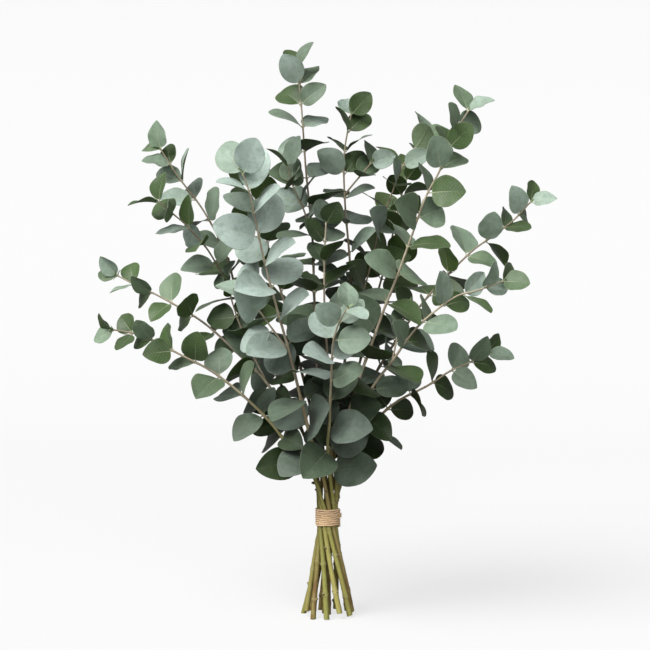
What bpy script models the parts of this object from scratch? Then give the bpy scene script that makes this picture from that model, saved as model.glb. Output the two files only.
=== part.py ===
"""A tied bunch of eucalyptus foliage that stands on its cut ends.

Fourteen leafy stems cross in a spiral inside a band of jute twine. Each stem is one solid:
its wood, its side twigs and its opposite pairs of leaves. All sizes are in millimetres and
are turned into metres where a mesh is made.
"""

import math
import random

import bmesh
import bpy
from mathutils import Matrix, Vector
from mathutils.bvhtree import BVHTree

MM = 0.001
UP = Vector((0, 0, 1))
VIEWER = Vector((0, -1, 0))

# The tie: a band of twine round the waist of the bunch
TIE_HEIGHT = 103.0
TIE_LENGTH = 20.0
TIE_INNER_RADIUS = 11.6
TWINE_TURNS = 8
TWINE_DIAMETER = TIE_LENGTH / TWINE_TURNS
TIE_SIDES = 16
TIE_WALL = 0.5
RIDGE_HEIGHT = 0.9
KNOT_RADIUS = 2.3
KNOT_ANGLE = -24.0
KNOT_OUT = 0.7
KNOT_RISE = 3.1

# The spiral: where the stems sit in the tie and how fast they travel round it
RING_RADIUS = 8.75
RING_STEMS = 11
RING_FIRST = 132.0
CORE_RADIUS = 2.9
SPIRAL_SLOPE = 0.235
CUT_ALLOWANCE = 8.0

# The wood
FOOT_DIAMETER = 6.0
TIE_STEM_DIAMETER = 4.3
TIP_DIAMETER = 1.5
TWIG_DIAMETER = 2.1
TAPER_POWER = 0.9
STEM_STEP = 42.0
STEM_SIDES = 1
TWIG_SIDES = 0

# The leaves
LEAF_THICKNESS = 0.7
LEAF_GAP = 0.45
PETIOLE_WIDTH = 1.2
PETIOLE_SHARE = 0.09
ROOT_SHARE = 0.4
OUTLINE_BASE = 0.6
OUTLINE_TIP = 0.7
CORNER_ROWS = (0.28, 0.72)
CORNER_REACH = 1.1
TIP_SPACING = 19.0
FULL_SPACING = 30.5
TIP_INSET = 1.5
GROWTH_PAIRS = 5
LOW_PAIRS = 5
TIP_SPREAD = 36.0
FULL_SPREAD = 66.0
WIDEST_SPREAD = 112.0
TWIG_BARE = 14.0
TWIG_TURN = 40.0
BACK_HALF = 70.0
LIGHT_OUTWARD = 0.4
LIGHT_UP = 0.3
SMOOTH_ANGLE = 40.0

# How much the leaves differ: each draws its own value between these, angles in degrees
# round the stem, from the stem and about the leaf, and the last three in radians
AROUND = (-16, 16)
SPREAD = (-15, 15)
GROWTH = (0.88, 1.1)
SLIMNESS = (0.66, 0.92)
FACING = (0.1, 0.9)
ROLL = (-26, 26)
FOLD = (0.05, 0.34)
CURL = (0.12, 0.75)
TWIST = (-0.35, 0.35)

# Each stem: its seat in the tie, the height of its cut end, the route of its leafy part, the
# height where its leaves begin, the length of its tip, full and lowest leaves, the turn of
# its last pair, and its twigs. Seats 0 to 10 go round the ring, and a stem of the
# core has its seat angle and its foot instead.
STEMS = {
    "front_left_stem": {
        "seat": 6, "cut": 0, "bare_to": 168, "leaves": (41, 50, 56), "turn": 40, "seed": 56,
        "route": [(-6, -13, 150), (-16, -28, 183), (-23, -37, 214), (-30, -46, 243), (-46, -64, 305),
                  (-55, -75, 342), (-67, -90, 390), (-76, -104, 436), (-82, -110, 455)],
        "twigs": [[(-39, -57, 280), (-54, -60, 300), (-67, -62, 318), (-78, -62, 336)]],
    },
    "front_stem": {
        "seat": 5, "cut": 0, "bare_to": 150, "leaves": (30, 47, 57), "turn": 50, "seed": 76,
        "route": [(1, -18, 155), (0, -36, 181), (2, -54, 209), (2, -70, 234), (4, -98, 280),
                  (8, -114, 303), (14, -126, 318), (19, -131, 326)],
    },
    "right_tall_stem": {
        "seat": 4, "cut": 0, "bare_to": 165, "leaves": (32, 44, 51), "turn": 48, "seed": 69,
        "route": [(9, -11, 150), (17, -20, 197), (35, -26, 259), (53, -30, 310), (71, -35, 356),
                  (95, -43, 427), (113, -47, 462), (126, -51, 497), (140, -54, 521)],
    },
    "right_middle_stem": {
        "seat": 3, "cut": 0, "bare_to": 160, "leaves": (28, 44, 51), "turn": 42, "seed": 37,
        "route": [(13, -4, 150), (25, -15, 187), (45, -28, 239), (65, -38, 269), (89, -48, 303),
                  (125, -57, 333), (148, -62, 341), (174, -68, 351)],
        "twigs": [[(66, -39, 271), (72, -34, 298), (84, -32, 330)]],
    },
    "right_low_stem": {
        "seat": 2, "cut": 0, "bare_to": 150, "leaves": (29, 40, 46), "turn": 46, "seed": 70,
        "route": [(18, 3, 151), (33, -2, 183), (52, -6, 207), (73, -10, 226), (103, -13, 242),
                  (126, -16, 257), (144, -17, 265), (165, -19, 276)],
    },
    "right_high_stem": {
        "seat": 1, "cut": 0, "bare_to": 170, "leaves": (29, 42, 51), "turn": 44, "seed": 81,
        "route": [(10, 11, 150), (25, 19, 192), (47, 25, 244), (72, 30, 286), (104, 36, 329),
                  (149, 42, 377), (176, 45, 397), (199, 47, 414), (218, 49, 434)],
    },
    "back_right_stem": {
        "seat": 0, "cut": 5, "bare_to": 155, "leaves": (31, 45, 51), "turn": 45, "seed": 45,
        "route": [(3, 14, 150), (12, 27, 185), (28, 46, 240), (45, 68, 300), (60, 88, 355),
                  (72, 103, 400), (82, 114, 440), (88, 119, 462)],
    },
    "back_left_stem": {
        "seat": 10, "cut": 0, "bare_to": 155, "leaves": (31, 45, 51), "turn": 40, "seed": 86,
        "route": [(-6, 13, 150), (-12, 27, 185), (-26, 47, 245), (-42, 70, 305), (-58, 90, 360),
                  (-72, 106, 410), (-84, 117, 450), (-90, 122, 475)],
    },
    "left_tall_stem": {
        "seat": 9, "cut": 0, "bare_to": 165, "leaves": (31, 43, 51), "turn": 47, "seed": 37,
        "route": [(-12, 8, 150), (-24, 20, 183), (-45, 26, 230), (-69, 29, 282), (-93, 30, 329),
                  (-108, 30, 377), (-132, 30, 424), (-158, 30, 460), (-177, 30, 489)],
        "twigs": [[(-86, 30, 316), (-103, 12, 342), (-116, 2, 367), (-127, -6, 386), (-145, -14, 407),
                   (-160, -20, 420), (-173, -24, 431)]],
    },
    "left_middle_stem": {
        "seat": 8, "cut": 5, "bare_to": 160, "leaves": (26, 40, 48), "turn": 38, "seed": 52,
        "route": [(-16, 1, 152), (-40, 4, 199), (-63, 6, 241), (-90, 8, 270), (-129, 10, 305),
                  (-174, 12, 332), (-197, 14, 343), (-222, 15, 356)],
        "twigs": [[(-65, 6, 244), (-84, 8, 285), (-98, 6, 322), (-106, 2, 352)]],
    },
    "left_low_stem": {
        "seat": 7, "cut": 0, "bare_to": 150, "leaves": (26, 41, 48), "turn": 44, "seed": 69,
        "route": [(-17, -8, 150), (-41, -13, 180), (-59, -16, 204), (-84, -20, 229), (-117, -25, 256),
                  (-141, -29, 270), (-167, -33, 284), (-188, -36, 295), (-218, -40, 301)],
    },
    "crown_stem": {
        "seat": 210, "foot": (-4, -7, 0), "cut": 3, "bare_to": 180, "leaves": (32, 43, 51), "turn": 45,
        "seed": 70,
        "route": [(-3, 4, 150), (-6, 11, 183), (-11, 16, 245), (-13, 22, 308), (-16, 29, 382),
                  (-20, 32, 435), (-27, 36, 516), (-32, 38, 577)],
        "twigs": [[(-17, 30, 396), (-26, 22, 425), (-36, 14, 448), (-42, 8, 470)]],
    },
    "back_crown_stem": {
        "seat": 90, "foot": (-8, 3, 0), "cut": 4, "bare_to": 180, "leaves": (32, 43, 51), "turn": 42,
        "seed": 56,
        "route": [(4, 5, 150), (11, 19, 203), (18, 27, 265), (24, 33, 329), (24, 37, 369),
                  (18, 43, 430), (18, 47, 483), (25, 51, 528)],
        "twigs": [[(21, 31, 300), (33, 36, 325), (47, 42, 371), (56, 47, 406), (65, 51, 433),
                   (81, 57, 474), (105, 62, 506)],
                  [(18, 44, 441), (30, 40, 456), (46, 36, 475)]],
    },
    "inner_stem": {
        "seat": 330, "foot": (0, 0, 0), "cut": 0, "bare_to": 170, "leaves": (31, 46, 53), "turn": 45,
        "seed": 71,
        "route": [(4, -5, 150), (3, -12, 200), (0, -17, 260), (-3, -18, 320), (-4, -16, 375),
                  (-2, -12, 410)],
    },
}

# Where a leaf would touch another piece it is turned, lifted or made smaller by the first of
# these that clears it: degrees round the stem, degrees from the stem, and share of its size
OFFSETS = [
    (0, 0, 1.0), (0, -12, 1.0), (0, 12, 1.0), (14, 0, 1.0), (-14, 0, 1.0), (14, 12, 0.95),
    (-14, 12, 0.95), (14, -14, 0.95), (-14, -14, 0.95), (26, 0, 0.9), (-26, 0, 0.9),
    (0, 24, 0.9), (26, 18, 0.85), (-26, 18, 0.85), (38, 0, 0.85), (-38, 0, 0.85),
    (0, 0, 0.75), (20, -20, 0.75), (-20, -20, 0.75), (20, 30, 0.75), (-20, 30, 0.75),
]

LEAF_GREENS = [(0.19, 0.27, 0.22), (0.15, 0.24, 0.18), (0.12, 0.20, 0.13)]
TWINE_TAN = (0.62, 0.45, 0.28)


def clear_scene():
    for thing in list(bpy.data.objects):
        bpy.data.objects.remove(thing, do_unlink=True)


def collection_named(name):
    made = bpy.data.collections.new(name)
    bpy.context.scene.collection.children.link(made)
    return made


def plain_material(name, colour, roughness):
    made = bpy.data.materials.new(name)
    made.use_nodes = True
    shader = made.node_tree.nodes["Principled BSDF"]
    shader.inputs["Base Color"].default_value = (*colour, 1.0)
    shader.inputs["Roughness"].default_value = roughness
    shader.inputs["Metallic"].default_value = 0.0
    return made


def round_the_axis(radius, degrees):
    angle = math.radians(degrees)
    return Vector((radius * math.cos(angle), radius * math.sin(angle), 0))


def foot_and_seat(stem):
    """The centre of the stem's cut end at ground level, and its centre at the tie."""
    if "foot" in stem:
        seat = round_the_axis(CORE_RADIUS, stem["seat"]) + UP * TIE_HEIGHT
        return Vector(stem["foot"]), seat
    angle = RING_FIRST - stem["seat"] * 360.0 / RING_STEMS
    seat = round_the_axis(RING_RADIUS, angle) + UP * TIE_HEIGHT
    sideways = round_the_axis(SPIRAL_SLOPE * TIE_HEIGHT, angle + 90)
    return seat + sideways - UP * TIE_HEIGHT, seat


def curve_through(points, step):
    """Points about a step apart along a smooth curve through the given ones."""
    spread = [points[0] * 2 - points[1], *points, points[-1] * 2 - points[-2]]
    found = [points[0].copy()]
    for before, start, end, after in zip(spread, spread[1:], spread[2:], spread[3:]):
        count = max(1, round((end - start).length / step))
        for i in range(1, count + 1):
            u = i / count
            found.append(0.5 * (
                2 * start
                + (end - before) * u
                + (2 * before - 5 * start + 4 * end - after) * u ** 2
                + (3 * start - before - 3 * end + after) * u ** 3
            ))
    return found


class Axis:
    """The centre line of a stem or twig, with its thickness from foot to tip."""

    def __init__(self, points, first_diameter, last_diameter, pinch=None):
        self.points = points
        self.travel = [0.0]
        for a, b in zip(points, points[1:]):
            self.travel.append(self.travel[-1] + (b - a).length)
        self.length = self.travel[-1]
        self.diameters = [first_diameter, last_diameter]
        self.pinch = pinch

    def at(self, distance):
        """The point and the direction of growth this far from the first end."""
        for a, b, from_, to in zip(self.points, self.points[1:], self.travel, self.travel[1:]):
            if distance <= to:
                break
        share = (distance - from_) / (to - from_)
        return a.lerp(b, share), (b - a).normalized()

    def diameter(self, distance):
        first, last = self.diameters
        if self.pinch is None:
            return first + (last - first) * distance / self.length
        tie, slim = self.pinch
        if distance < tie:
            return first + (slim - first) * distance / tie
        return slim + (last - slim) * ((distance - tie) / (self.length - tie)) ** TAPER_POWER


def stem_axis(stem):
    foot, seat = foot_and_seat(stem)
    rise = (seat - foot) / TIE_HEIGHT
    below = foot - rise * CUT_ALLOWANCE
    waist = [seat - rise * TIE_LENGTH / 2, seat + rise * TIE_LENGTH / 2]
    upper = [waist[1], *[Vector(p) for p in stem["route"]]]
    points = [below, waist[0], *curve_through(upper, STEM_STEP)]
    tie = (seat - below).length
    return Axis(points, FOOT_DIAMETER, TIP_DIAMETER, (tie, TIE_STEM_DIAMETER))


def twig_axis(route):
    points = curve_through([Vector(p) for p in route], STEM_STEP)
    return Axis(points, TWIG_DIAMETER, TIP_DIAMETER)


def tube(name, axis, bevel_resolution):
    """A closed tube of the axis's thickness, as a mesh."""
    curve = bpy.data.curves.new(name, "CURVE")
    curve.dimensions = "3D"
    curve.bevel_depth = MM
    curve.bevel_resolution = bevel_resolution
    curve.use_fill_caps = True
    line = curve.splines.new("POLY")
    line.points.add(len(axis.points) - 1)
    for point, place, distance in zip(line.points, axis.points, axis.travel):
        point.co = (*(place * MM), 1)
        point.radius = axis.diameter(distance) / 2
    guide = bpy.data.objects.new(name + "_line", curve)
    bpy.context.scene.collection.objects.link(guide)
    bpy.context.view_layer.update()
    graph = bpy.context.evaluated_depsgraph_get()
    mesh = bpy.data.meshes.new_from_object(guide.evaluated_get(graph))
    mesh.name = name
    made = bpy.data.objects.new(name, mesh)
    made.matrix_world = guide.matrix_world
    bpy.data.objects.remove(guide)
    bpy.data.curves.remove(curve)
    work = bmesh.new()
    work.from_mesh(mesh)
    bmesh.ops.remove_doubles(work, verts=work.verts, dist=0.00001)
    bmesh.ops.recalc_face_normals(work, faces=work.faces)
    work.to_mesh(mesh)
    work.free()
    return made


def trim_foot(piece, height):
    """Cuts the stem level at this height and closes the cut with a flat face."""
    work = bmesh.new()
    work.from_mesh(piece.data)
    everything = work.verts[:] + work.edges[:] + work.faces[:]
    cut = bmesh.ops.bisect_plane(
        work, geom=everything, dist=0.000001, plane_co=(0, 0, height * MM), plane_no=(0, 0, -1),
        clear_outer=True,
    )
    rim = [e for e in cut["geom_cut"] if isinstance(e, bmesh.types.BMEdge)]
    bmesh.ops.contextual_create(work, geom=rim)
    bmesh.ops.recalc_face_normals(work, faces=work.faces)
    work.to_mesh(piece.data)
    work.free()


class Blade:
    """A leaf: where it is rooted, which way it grows and faces, and how it is bent."""

    def __init__(self, root, along, face, length, width, fold, curl, twist):
        self.root = root
        self.along = along
        self.face = face
        self.side = along.cross(face)
        self.length = length
        self.width = width
        self.fold = fold
        self.curl = curl
        self.twist = twist

    def half_width(self, t):
        u = max(t - PETIOLE_SHARE, 0) / (1 - PETIOLE_SHARE)
        widest = OUTLINE_BASE / (OUTLINE_BASE + OUTLINE_TIP)
        share = (u / widest) ** OUTLINE_BASE * ((1 - u) / (1 - widest)) ** OUTLINE_TIP
        return max(PETIOLE_WIDTH / 2 * (1 - t), self.width / 2 * share)

    def point(self, t, s):
        """The point a share t of the way to the tip and s of the way to an edge."""
        bend = self.curl * t
        ahead = self.length * math.sin(bend) / self.curl
        drop = self.length * (1 - math.cos(bend)) / self.curl
        out = self.half_width(t) * s
        turn = self.twist * t
        sideways = out * math.cos(self.fold)
        raised = abs(out) * math.sin(self.fold)
        across = sideways * math.cos(turn) - raised * math.sin(turn)
        above = sideways * math.sin(turn) + raised * math.cos(turn)
        return self.root + self.along * ahead + self.side * across + self.face * (above - drop)

    def corners(self):
        """The root, the middle of the blade, then its edge from one side round the tip.

        The edge's corners stand a little outside the curved outline, to keep its area.
        """
        right = [self.point(t, CORNER_REACH) for t in CORNER_ROWS]
        left = [self.point(t, -CORNER_REACH) for t in CORNER_ROWS]
        return [self.root, self.point(0.5, 0), *right, self.point(1, 0), *reversed(left)]

    def probe(self, thickness, with_root):
        """A search tree of the closed blade at this thickness, with or without its root."""
        sheet = self.corners()
        size = len(sheet)
        points = [p + self.face * thickness / 2 for p in sheet]
        points += [p - self.face * thickness / 2 for p in sheet]
        faces = []
        for a, b, c in blade_faces(size):
            if with_root or a:
                faces += [(a, b, c), (a + size, b + size, c + size)]
        rim = [*range(2, size), *([0] if with_root else [])]
        for a, b in zip(rim, [*rim[1:], rim[0]]):
            faces += [(a, b, b + size), (a, b + size, a + size)]
        return BVHTree.FromPolygons(points, faces)


def blade_faces(size):
    """Triangles between a blade's corners: one at the root, and a fan round the middle."""
    edge = [*range(2, size)]
    return [(0, size - 1, 2)] + [(1, b, a) for a, b in zip(edge, [*edge[1:], 2])]


def blade_object(name, blade):
    """The blade as an open sheet of triangles with Solidify."""
    corners = [p * MM for p in blade.corners()]
    faces = blade_faces(len(corners))
    mesh = bpy.data.meshes.new(name)
    mesh.from_pydata(corners, [], faces)
    made = bpy.data.objects.new(name, mesh)
    solid = made.modifiers.new("Thickness", "SOLIDIFY")
    solid.thickness = LEAF_THICKNESS * MM
    solid.offset = 0
    return made


class Placed:
    """What already stands in the bunch, for a new leaf to keep clear of."""

    def __init__(self):
        self.pieces = []

    def add(self, owner, tree, centre, reach, outer=None):
        self.pieces.append((owner, tree, centre, reach, outer or tree))

    def clear(self, owner, blade):
        """Whether the blade keeps its gap to other stems, and past its root to its own."""
        thickness = LEAF_THICKNESS + 2 * LEAF_GAP
        whole = blade.probe(thickness, True)
        outer = blade.probe(thickness, False)
        middle = blade.point(0.5, 0)
        for other, tree, centre, reach, other_outer in self.pieces:
            if (middle - centre).length > reach + blade.length:
                continue
            if other == owner:
                if outer.overlap(other_outer):
                    return False
            elif whole.overlap(tree):
                return False
        return True


def add_tube(placed, owner, piece, axis):
    mesh = piece.data
    points = [v.co / MM for v in mesh.vertices]
    tree = BVHTree.FromPolygons(points, [tuple(p.vertices) for p in mesh.polygons])
    centre = (axis.points[0] + axis.points[-1]) / 2
    placed.add(owner, tree, centre, axis.length)


def turned(vector, axis, degrees):
    return Matrix.Rotation(math.radians(degrees), 3, axis) @ vector


def leaf_pairs(axis, lowest):
    """Where the pairs grow, from the tip down: closer and smaller towards the tip."""
    found = []
    distance = axis.length - TIP_INSET
    while distance > 0:
        place, growth = axis.at(distance)
        if place.z < lowest:
            break
        full = min(1.0, len(found) / GROWTH_PAIRS)
        found.append((place, growth, axis.diameter(distance) / 2, full))
        distance -= TIP_SPACING + (FULL_SPACING - TIP_SPACING) * full
    return found


def grow_leaves(name, stem, axis, lowest, turn, draw, placed):
    """The blades of one axis, pair by pair, each pair a quarter turn from the last."""
    tip_length, full_length, low_length = stem["leaves"]
    blades = []
    for i, (place, growth, radius, full) in enumerate(leaf_pairs(axis, lowest)):
        toward = (VIEWER - growth * VIEWER.dot(growth)).normalized()
        for opposite in (0, 180):
            around = turn + 90 * i + opposite + draw.uniform(*AROUND)
            spread = TIP_SPREAD + (FULL_SPREAD - TIP_SPREAD) * full + draw.uniform(*SPREAD)
            low = max(0.0, min(1.0, (i - GROWTH_PAIRS) / LOW_PAIRS))
            length = tip_length + (full_length - tip_length) * full
            length += (low_length - full_length) * low
            length *= draw.uniform(*GROWTH)
            slimness = draw.uniform(*SLIMNESS)
            facing = draw.uniform(*FACING)
            roll = draw.uniform(*ROLL)
            fold = draw.uniform(*FOLD)
            curl = draw.uniform(*CURL)
            twist = draw.uniform(*TWIST)
            for more_around, more_spread, size in OFFSETS:
                outward = turned(toward, growth, around + more_around)
                opening = math.radians(min(spread + more_spread, WIDEST_SPREAD))
                along = growth * math.cos(opening) + outward * math.sin(opening)
                inner = growth * math.sin(opening) - outward * math.cos(opening)
                away = Vector((place.x, place.y, 0)).normalized()
                light = away * LIGHT_OUTWARD + UP * LIGHT_UP
                light += VIEWER if place.y < BACK_HALF else -VIEWER
                light = (light - along * light.dot(along)).normalized()
                face = inner.lerp(light, facing).normalized()
                face = turned((face - along * face.dot(along)).normalized(), along, roll)
                root = place + outward * ROOT_SHARE * radius
                blade = Blade(
                    root, along, face, length * size, length * size * slimness, fold, curl, twist,
                )
                if placed.clear(name, blade):
                    nominal = blade.probe(LEAF_THICKNESS, True)
                    outer = blade.probe(LEAF_THICKNESS, False)
                    placed.add(name, nominal, blade.point(0.5, 0), blade.length, outer)
                    blades.append(blade)
                    break
    return blades


def join(body, growth):
    """Unites the body with all that is in the growth collection, and drops loose scraps."""
    union = body.modifiers.new("Growth", "BOOLEAN")
    union.operation = "UNION"
    union.operand_type = "COLLECTION"
    union.collection = growth
    union.solver = "EXACT"
    bpy.context.view_layer.update()
    graph = bpy.context.evaluated_depsgraph_get()
    joined = bpy.data.meshes.new_from_object(body.evaluated_get(graph))
    joined.name = body.name
    body.modifiers.clear()
    body.data = joined
    for piece in list(growth.objects):
        bpy.data.objects.remove(piece)
    bpy.data.collections.remove(growth)
    keep_largest_body(joined)


def keep_largest_body(mesh):
    work = bmesh.new()
    work.from_mesh(mesh)
    unseen = set(work.verts)
    bodies = []
    while unseen:
        body = set()
        edge = [unseen.pop()]
        while edge:
            vertex = edge.pop()
            body.add(vertex)
            for link in vertex.link_edges:
                other = link.other_vert(vertex)
                if other in unseen:
                    unseen.remove(other)
                    edge.append(other)
        bodies.append(body)
    bodies.sort(key=len)
    for scrap in bodies[:-1]:
        bmesh.ops.delete(work, geom=list(scrap), context="VERTS")
    bmesh.ops.triangulate(work, faces=work.faces)
    work.to_mesh(mesh)
    work.free()


def smooth(mesh):
    mesh.shade_smooth()
    mesh.set_sharp_from_angle(angle=math.radians(SMOOTH_ANGLE))


def make_stems(bunch):
    placed = Placed()
    woods = {}
    for name, stem in STEMS.items():
        main = stem_axis(stem)
        trunk = tube(name, main, STEM_SIDES)
        bunch.objects.link(trunk)
        trim_foot(trunk, stem["cut"])
        add_tube(placed, name, trunk, main)
        twigs = []
        for i, route in enumerate(stem.get("twigs", [])):
            axis = twig_axis(route)
            twig = tube(f"{name}_twig_{i}", axis, TWIG_SIDES)
            add_tube(placed, name, twig, axis)
            twigs.append((axis, twig))
        woods[name] = (main, trunk, twigs)
    for number, (name, stem) in enumerate(STEMS.items()):
        main, trunk, twigs = woods[name]
        draw = random.Random(stem["seed"])
        growth = collection_named(name + "_growth")
        blades = grow_leaves(name, stem, main, stem["bare_to"], stem["turn"], draw, placed)
        for axis, twig in twigs:
            growth.objects.link(twig)
            lowest = axis.points[0].z + TWIG_BARE
            turn = stem["turn"] + TWIG_TURN
            blades += grow_leaves(name, stem, axis, lowest, turn, draw, placed)
        for i, blade in enumerate(blades):
            growth.objects.link(blade_object(f"{name}_leaf_{i}", blade))
        join(trunk, growth)
        trunk.data.materials.clear()
        colour = LEAF_GREENS[number % len(LEAF_GREENS)]
        trunk.data.materials.append(plain_material(name, colour, 0.6))
        smooth(trunk.data)
        print(name, len(blades), "leaves,", len(trunk.data.polygons), "faces")


def make_band(bunch):
    """The twine band: a turned ring with a ridge for each turn, and the knot on it."""
    outer = TIE_INNER_RADIUS + TIE_WALL
    top = TIE_HEIGHT + TIE_LENGTH / 2
    profile = [(TIE_INNER_RADIUS, top), (outer, top)]
    for turn in range(TWINE_TURNS):
        crest = top - (turn + 0.5) * TWINE_DIAMETER
        profile.append((outer + RIDGE_HEIGHT, crest))
        profile.append((outer, crest - TWINE_DIAMETER / 2))
    profile.append((TIE_INNER_RADIUS, top - TIE_LENGTH))
    mesh = bpy.data.meshes.new("twine_band")
    points = [(radius * MM, 0, height * MM) for radius, height in profile]
    edges = [(i, (i + 1) % len(points)) for i in range(len(points))]
    mesh.from_pydata(points, edges, [])
    band = bpy.data.objects.new("twine_band", mesh)
    bunch.objects.link(band)
    turned_ring = band.modifiers.new("Turned", "SCREW")
    turned_ring.steps = TIE_SIDES
    turned_ring.render_steps = TIE_SIDES
    turned_ring.use_merge_vertices = True
    turned_ring.merge_threshold = 0.0001
    bpy.ops.mesh.primitive_ico_sphere_add(subdivisions=1, radius=KNOT_RADIUS * MM)
    knot = bpy.context.active_object
    knot.name = "knot"
    knot_place = round_the_axis(outer + KNOT_OUT, KNOT_ANGLE)
    knot.location = (knot_place + UP * (TIE_HEIGHT + KNOT_RISE)) * MM
    knots = collection_named("twine_band_knot")
    for other in knot.users_collection:
        other.objects.unlink(knot)
    knots.objects.link(knot)
    join(band, knots)
    band.data.materials.append(plain_material("twine_band", TWINE_TAN, 0.9))
    smooth(band.data)


clear_scene()
eucalyptus_bunch = collection_named("eucalyptus_bunch")
make_stems(eucalyptus_bunch)
make_band(eucalyptus_bunch)
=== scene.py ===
import math
import random

import bpy
import numpy as np
from mathutils import Matrix, Vector
from mathutils.kdtree import KDTree


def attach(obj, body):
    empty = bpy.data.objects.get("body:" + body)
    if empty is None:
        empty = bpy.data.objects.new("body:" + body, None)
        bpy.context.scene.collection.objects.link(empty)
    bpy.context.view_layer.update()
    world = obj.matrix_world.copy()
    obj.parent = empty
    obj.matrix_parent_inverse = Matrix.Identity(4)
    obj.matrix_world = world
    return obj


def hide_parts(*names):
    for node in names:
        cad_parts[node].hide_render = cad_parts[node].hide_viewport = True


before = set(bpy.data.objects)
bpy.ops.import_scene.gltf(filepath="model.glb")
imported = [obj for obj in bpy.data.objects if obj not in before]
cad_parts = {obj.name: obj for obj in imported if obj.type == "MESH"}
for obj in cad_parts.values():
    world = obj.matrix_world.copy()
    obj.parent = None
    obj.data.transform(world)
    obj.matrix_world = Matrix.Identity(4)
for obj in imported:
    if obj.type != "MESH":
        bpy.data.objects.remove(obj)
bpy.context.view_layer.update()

mm = 0.001
up = Vector((0, 0, 1))
viewer = Vector((0, -1, 0))
high = np.array([0, 0, 1.0])  # up, for arrays of points

# the rules the stems and leaves are grown by, in millimetres
tie = {"height": 103.0, "length": 20.0, "coreRadius": 2.9, "ringRadius": 8.75, "ringStems": 11,
       "ringFirst": 132.0, "slope": 0.235, "allowance": 8.0}
wood = {"foot": 6.0, "tie": 4.3, "tip": 1.5, "twig": 2.1, "taper": 0.9, "step": 42.0, "fineStep": 2.6,
        "sides": 12, "twigSides": 9, "bareSpacing": 37.0, "bareVary": 12.0,
        "bareDrift": 2.3, "bareFrom": 16.0, "tieClear": 4.0}
leafRule = {"petioleWidth": 1.2, "petioleShare": 0.09, "rootShare": 0.4, "base": 0.6, "tip": 0.7,
            "cornerRows": (0.28, 0.72), "cornerReach": 1.1, "tipSpacing": 19.0, "fullSpacing": 30.5,
            "tipInset": 1.5, "growthPairs": 5, "lowPairs": 5, "tipSpread": 36.0, "fullSpread": 66.0,
            "widestSpread": 112.0, "twigBare": 14.0, "twigTurn": 40.0, "backHalf": 70.0,
            "lightOutward": 0.4, "lightUp": 0.3, "matchLimit": 1.1}

# what each leaf's own draws lie between, in this order
leafDraws = {"around": (-16, 16), "spread": (-15, 15), "growth": (0.88, 1.1), "slimness": (0.66, 0.92),
             "facing": (0.1, 0.9), "roll": (-26, 26), "fold": (0.05, 0.34), "curl": (0.12, 0.75),
             "twist": (-0.35, 0.35)}

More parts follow.
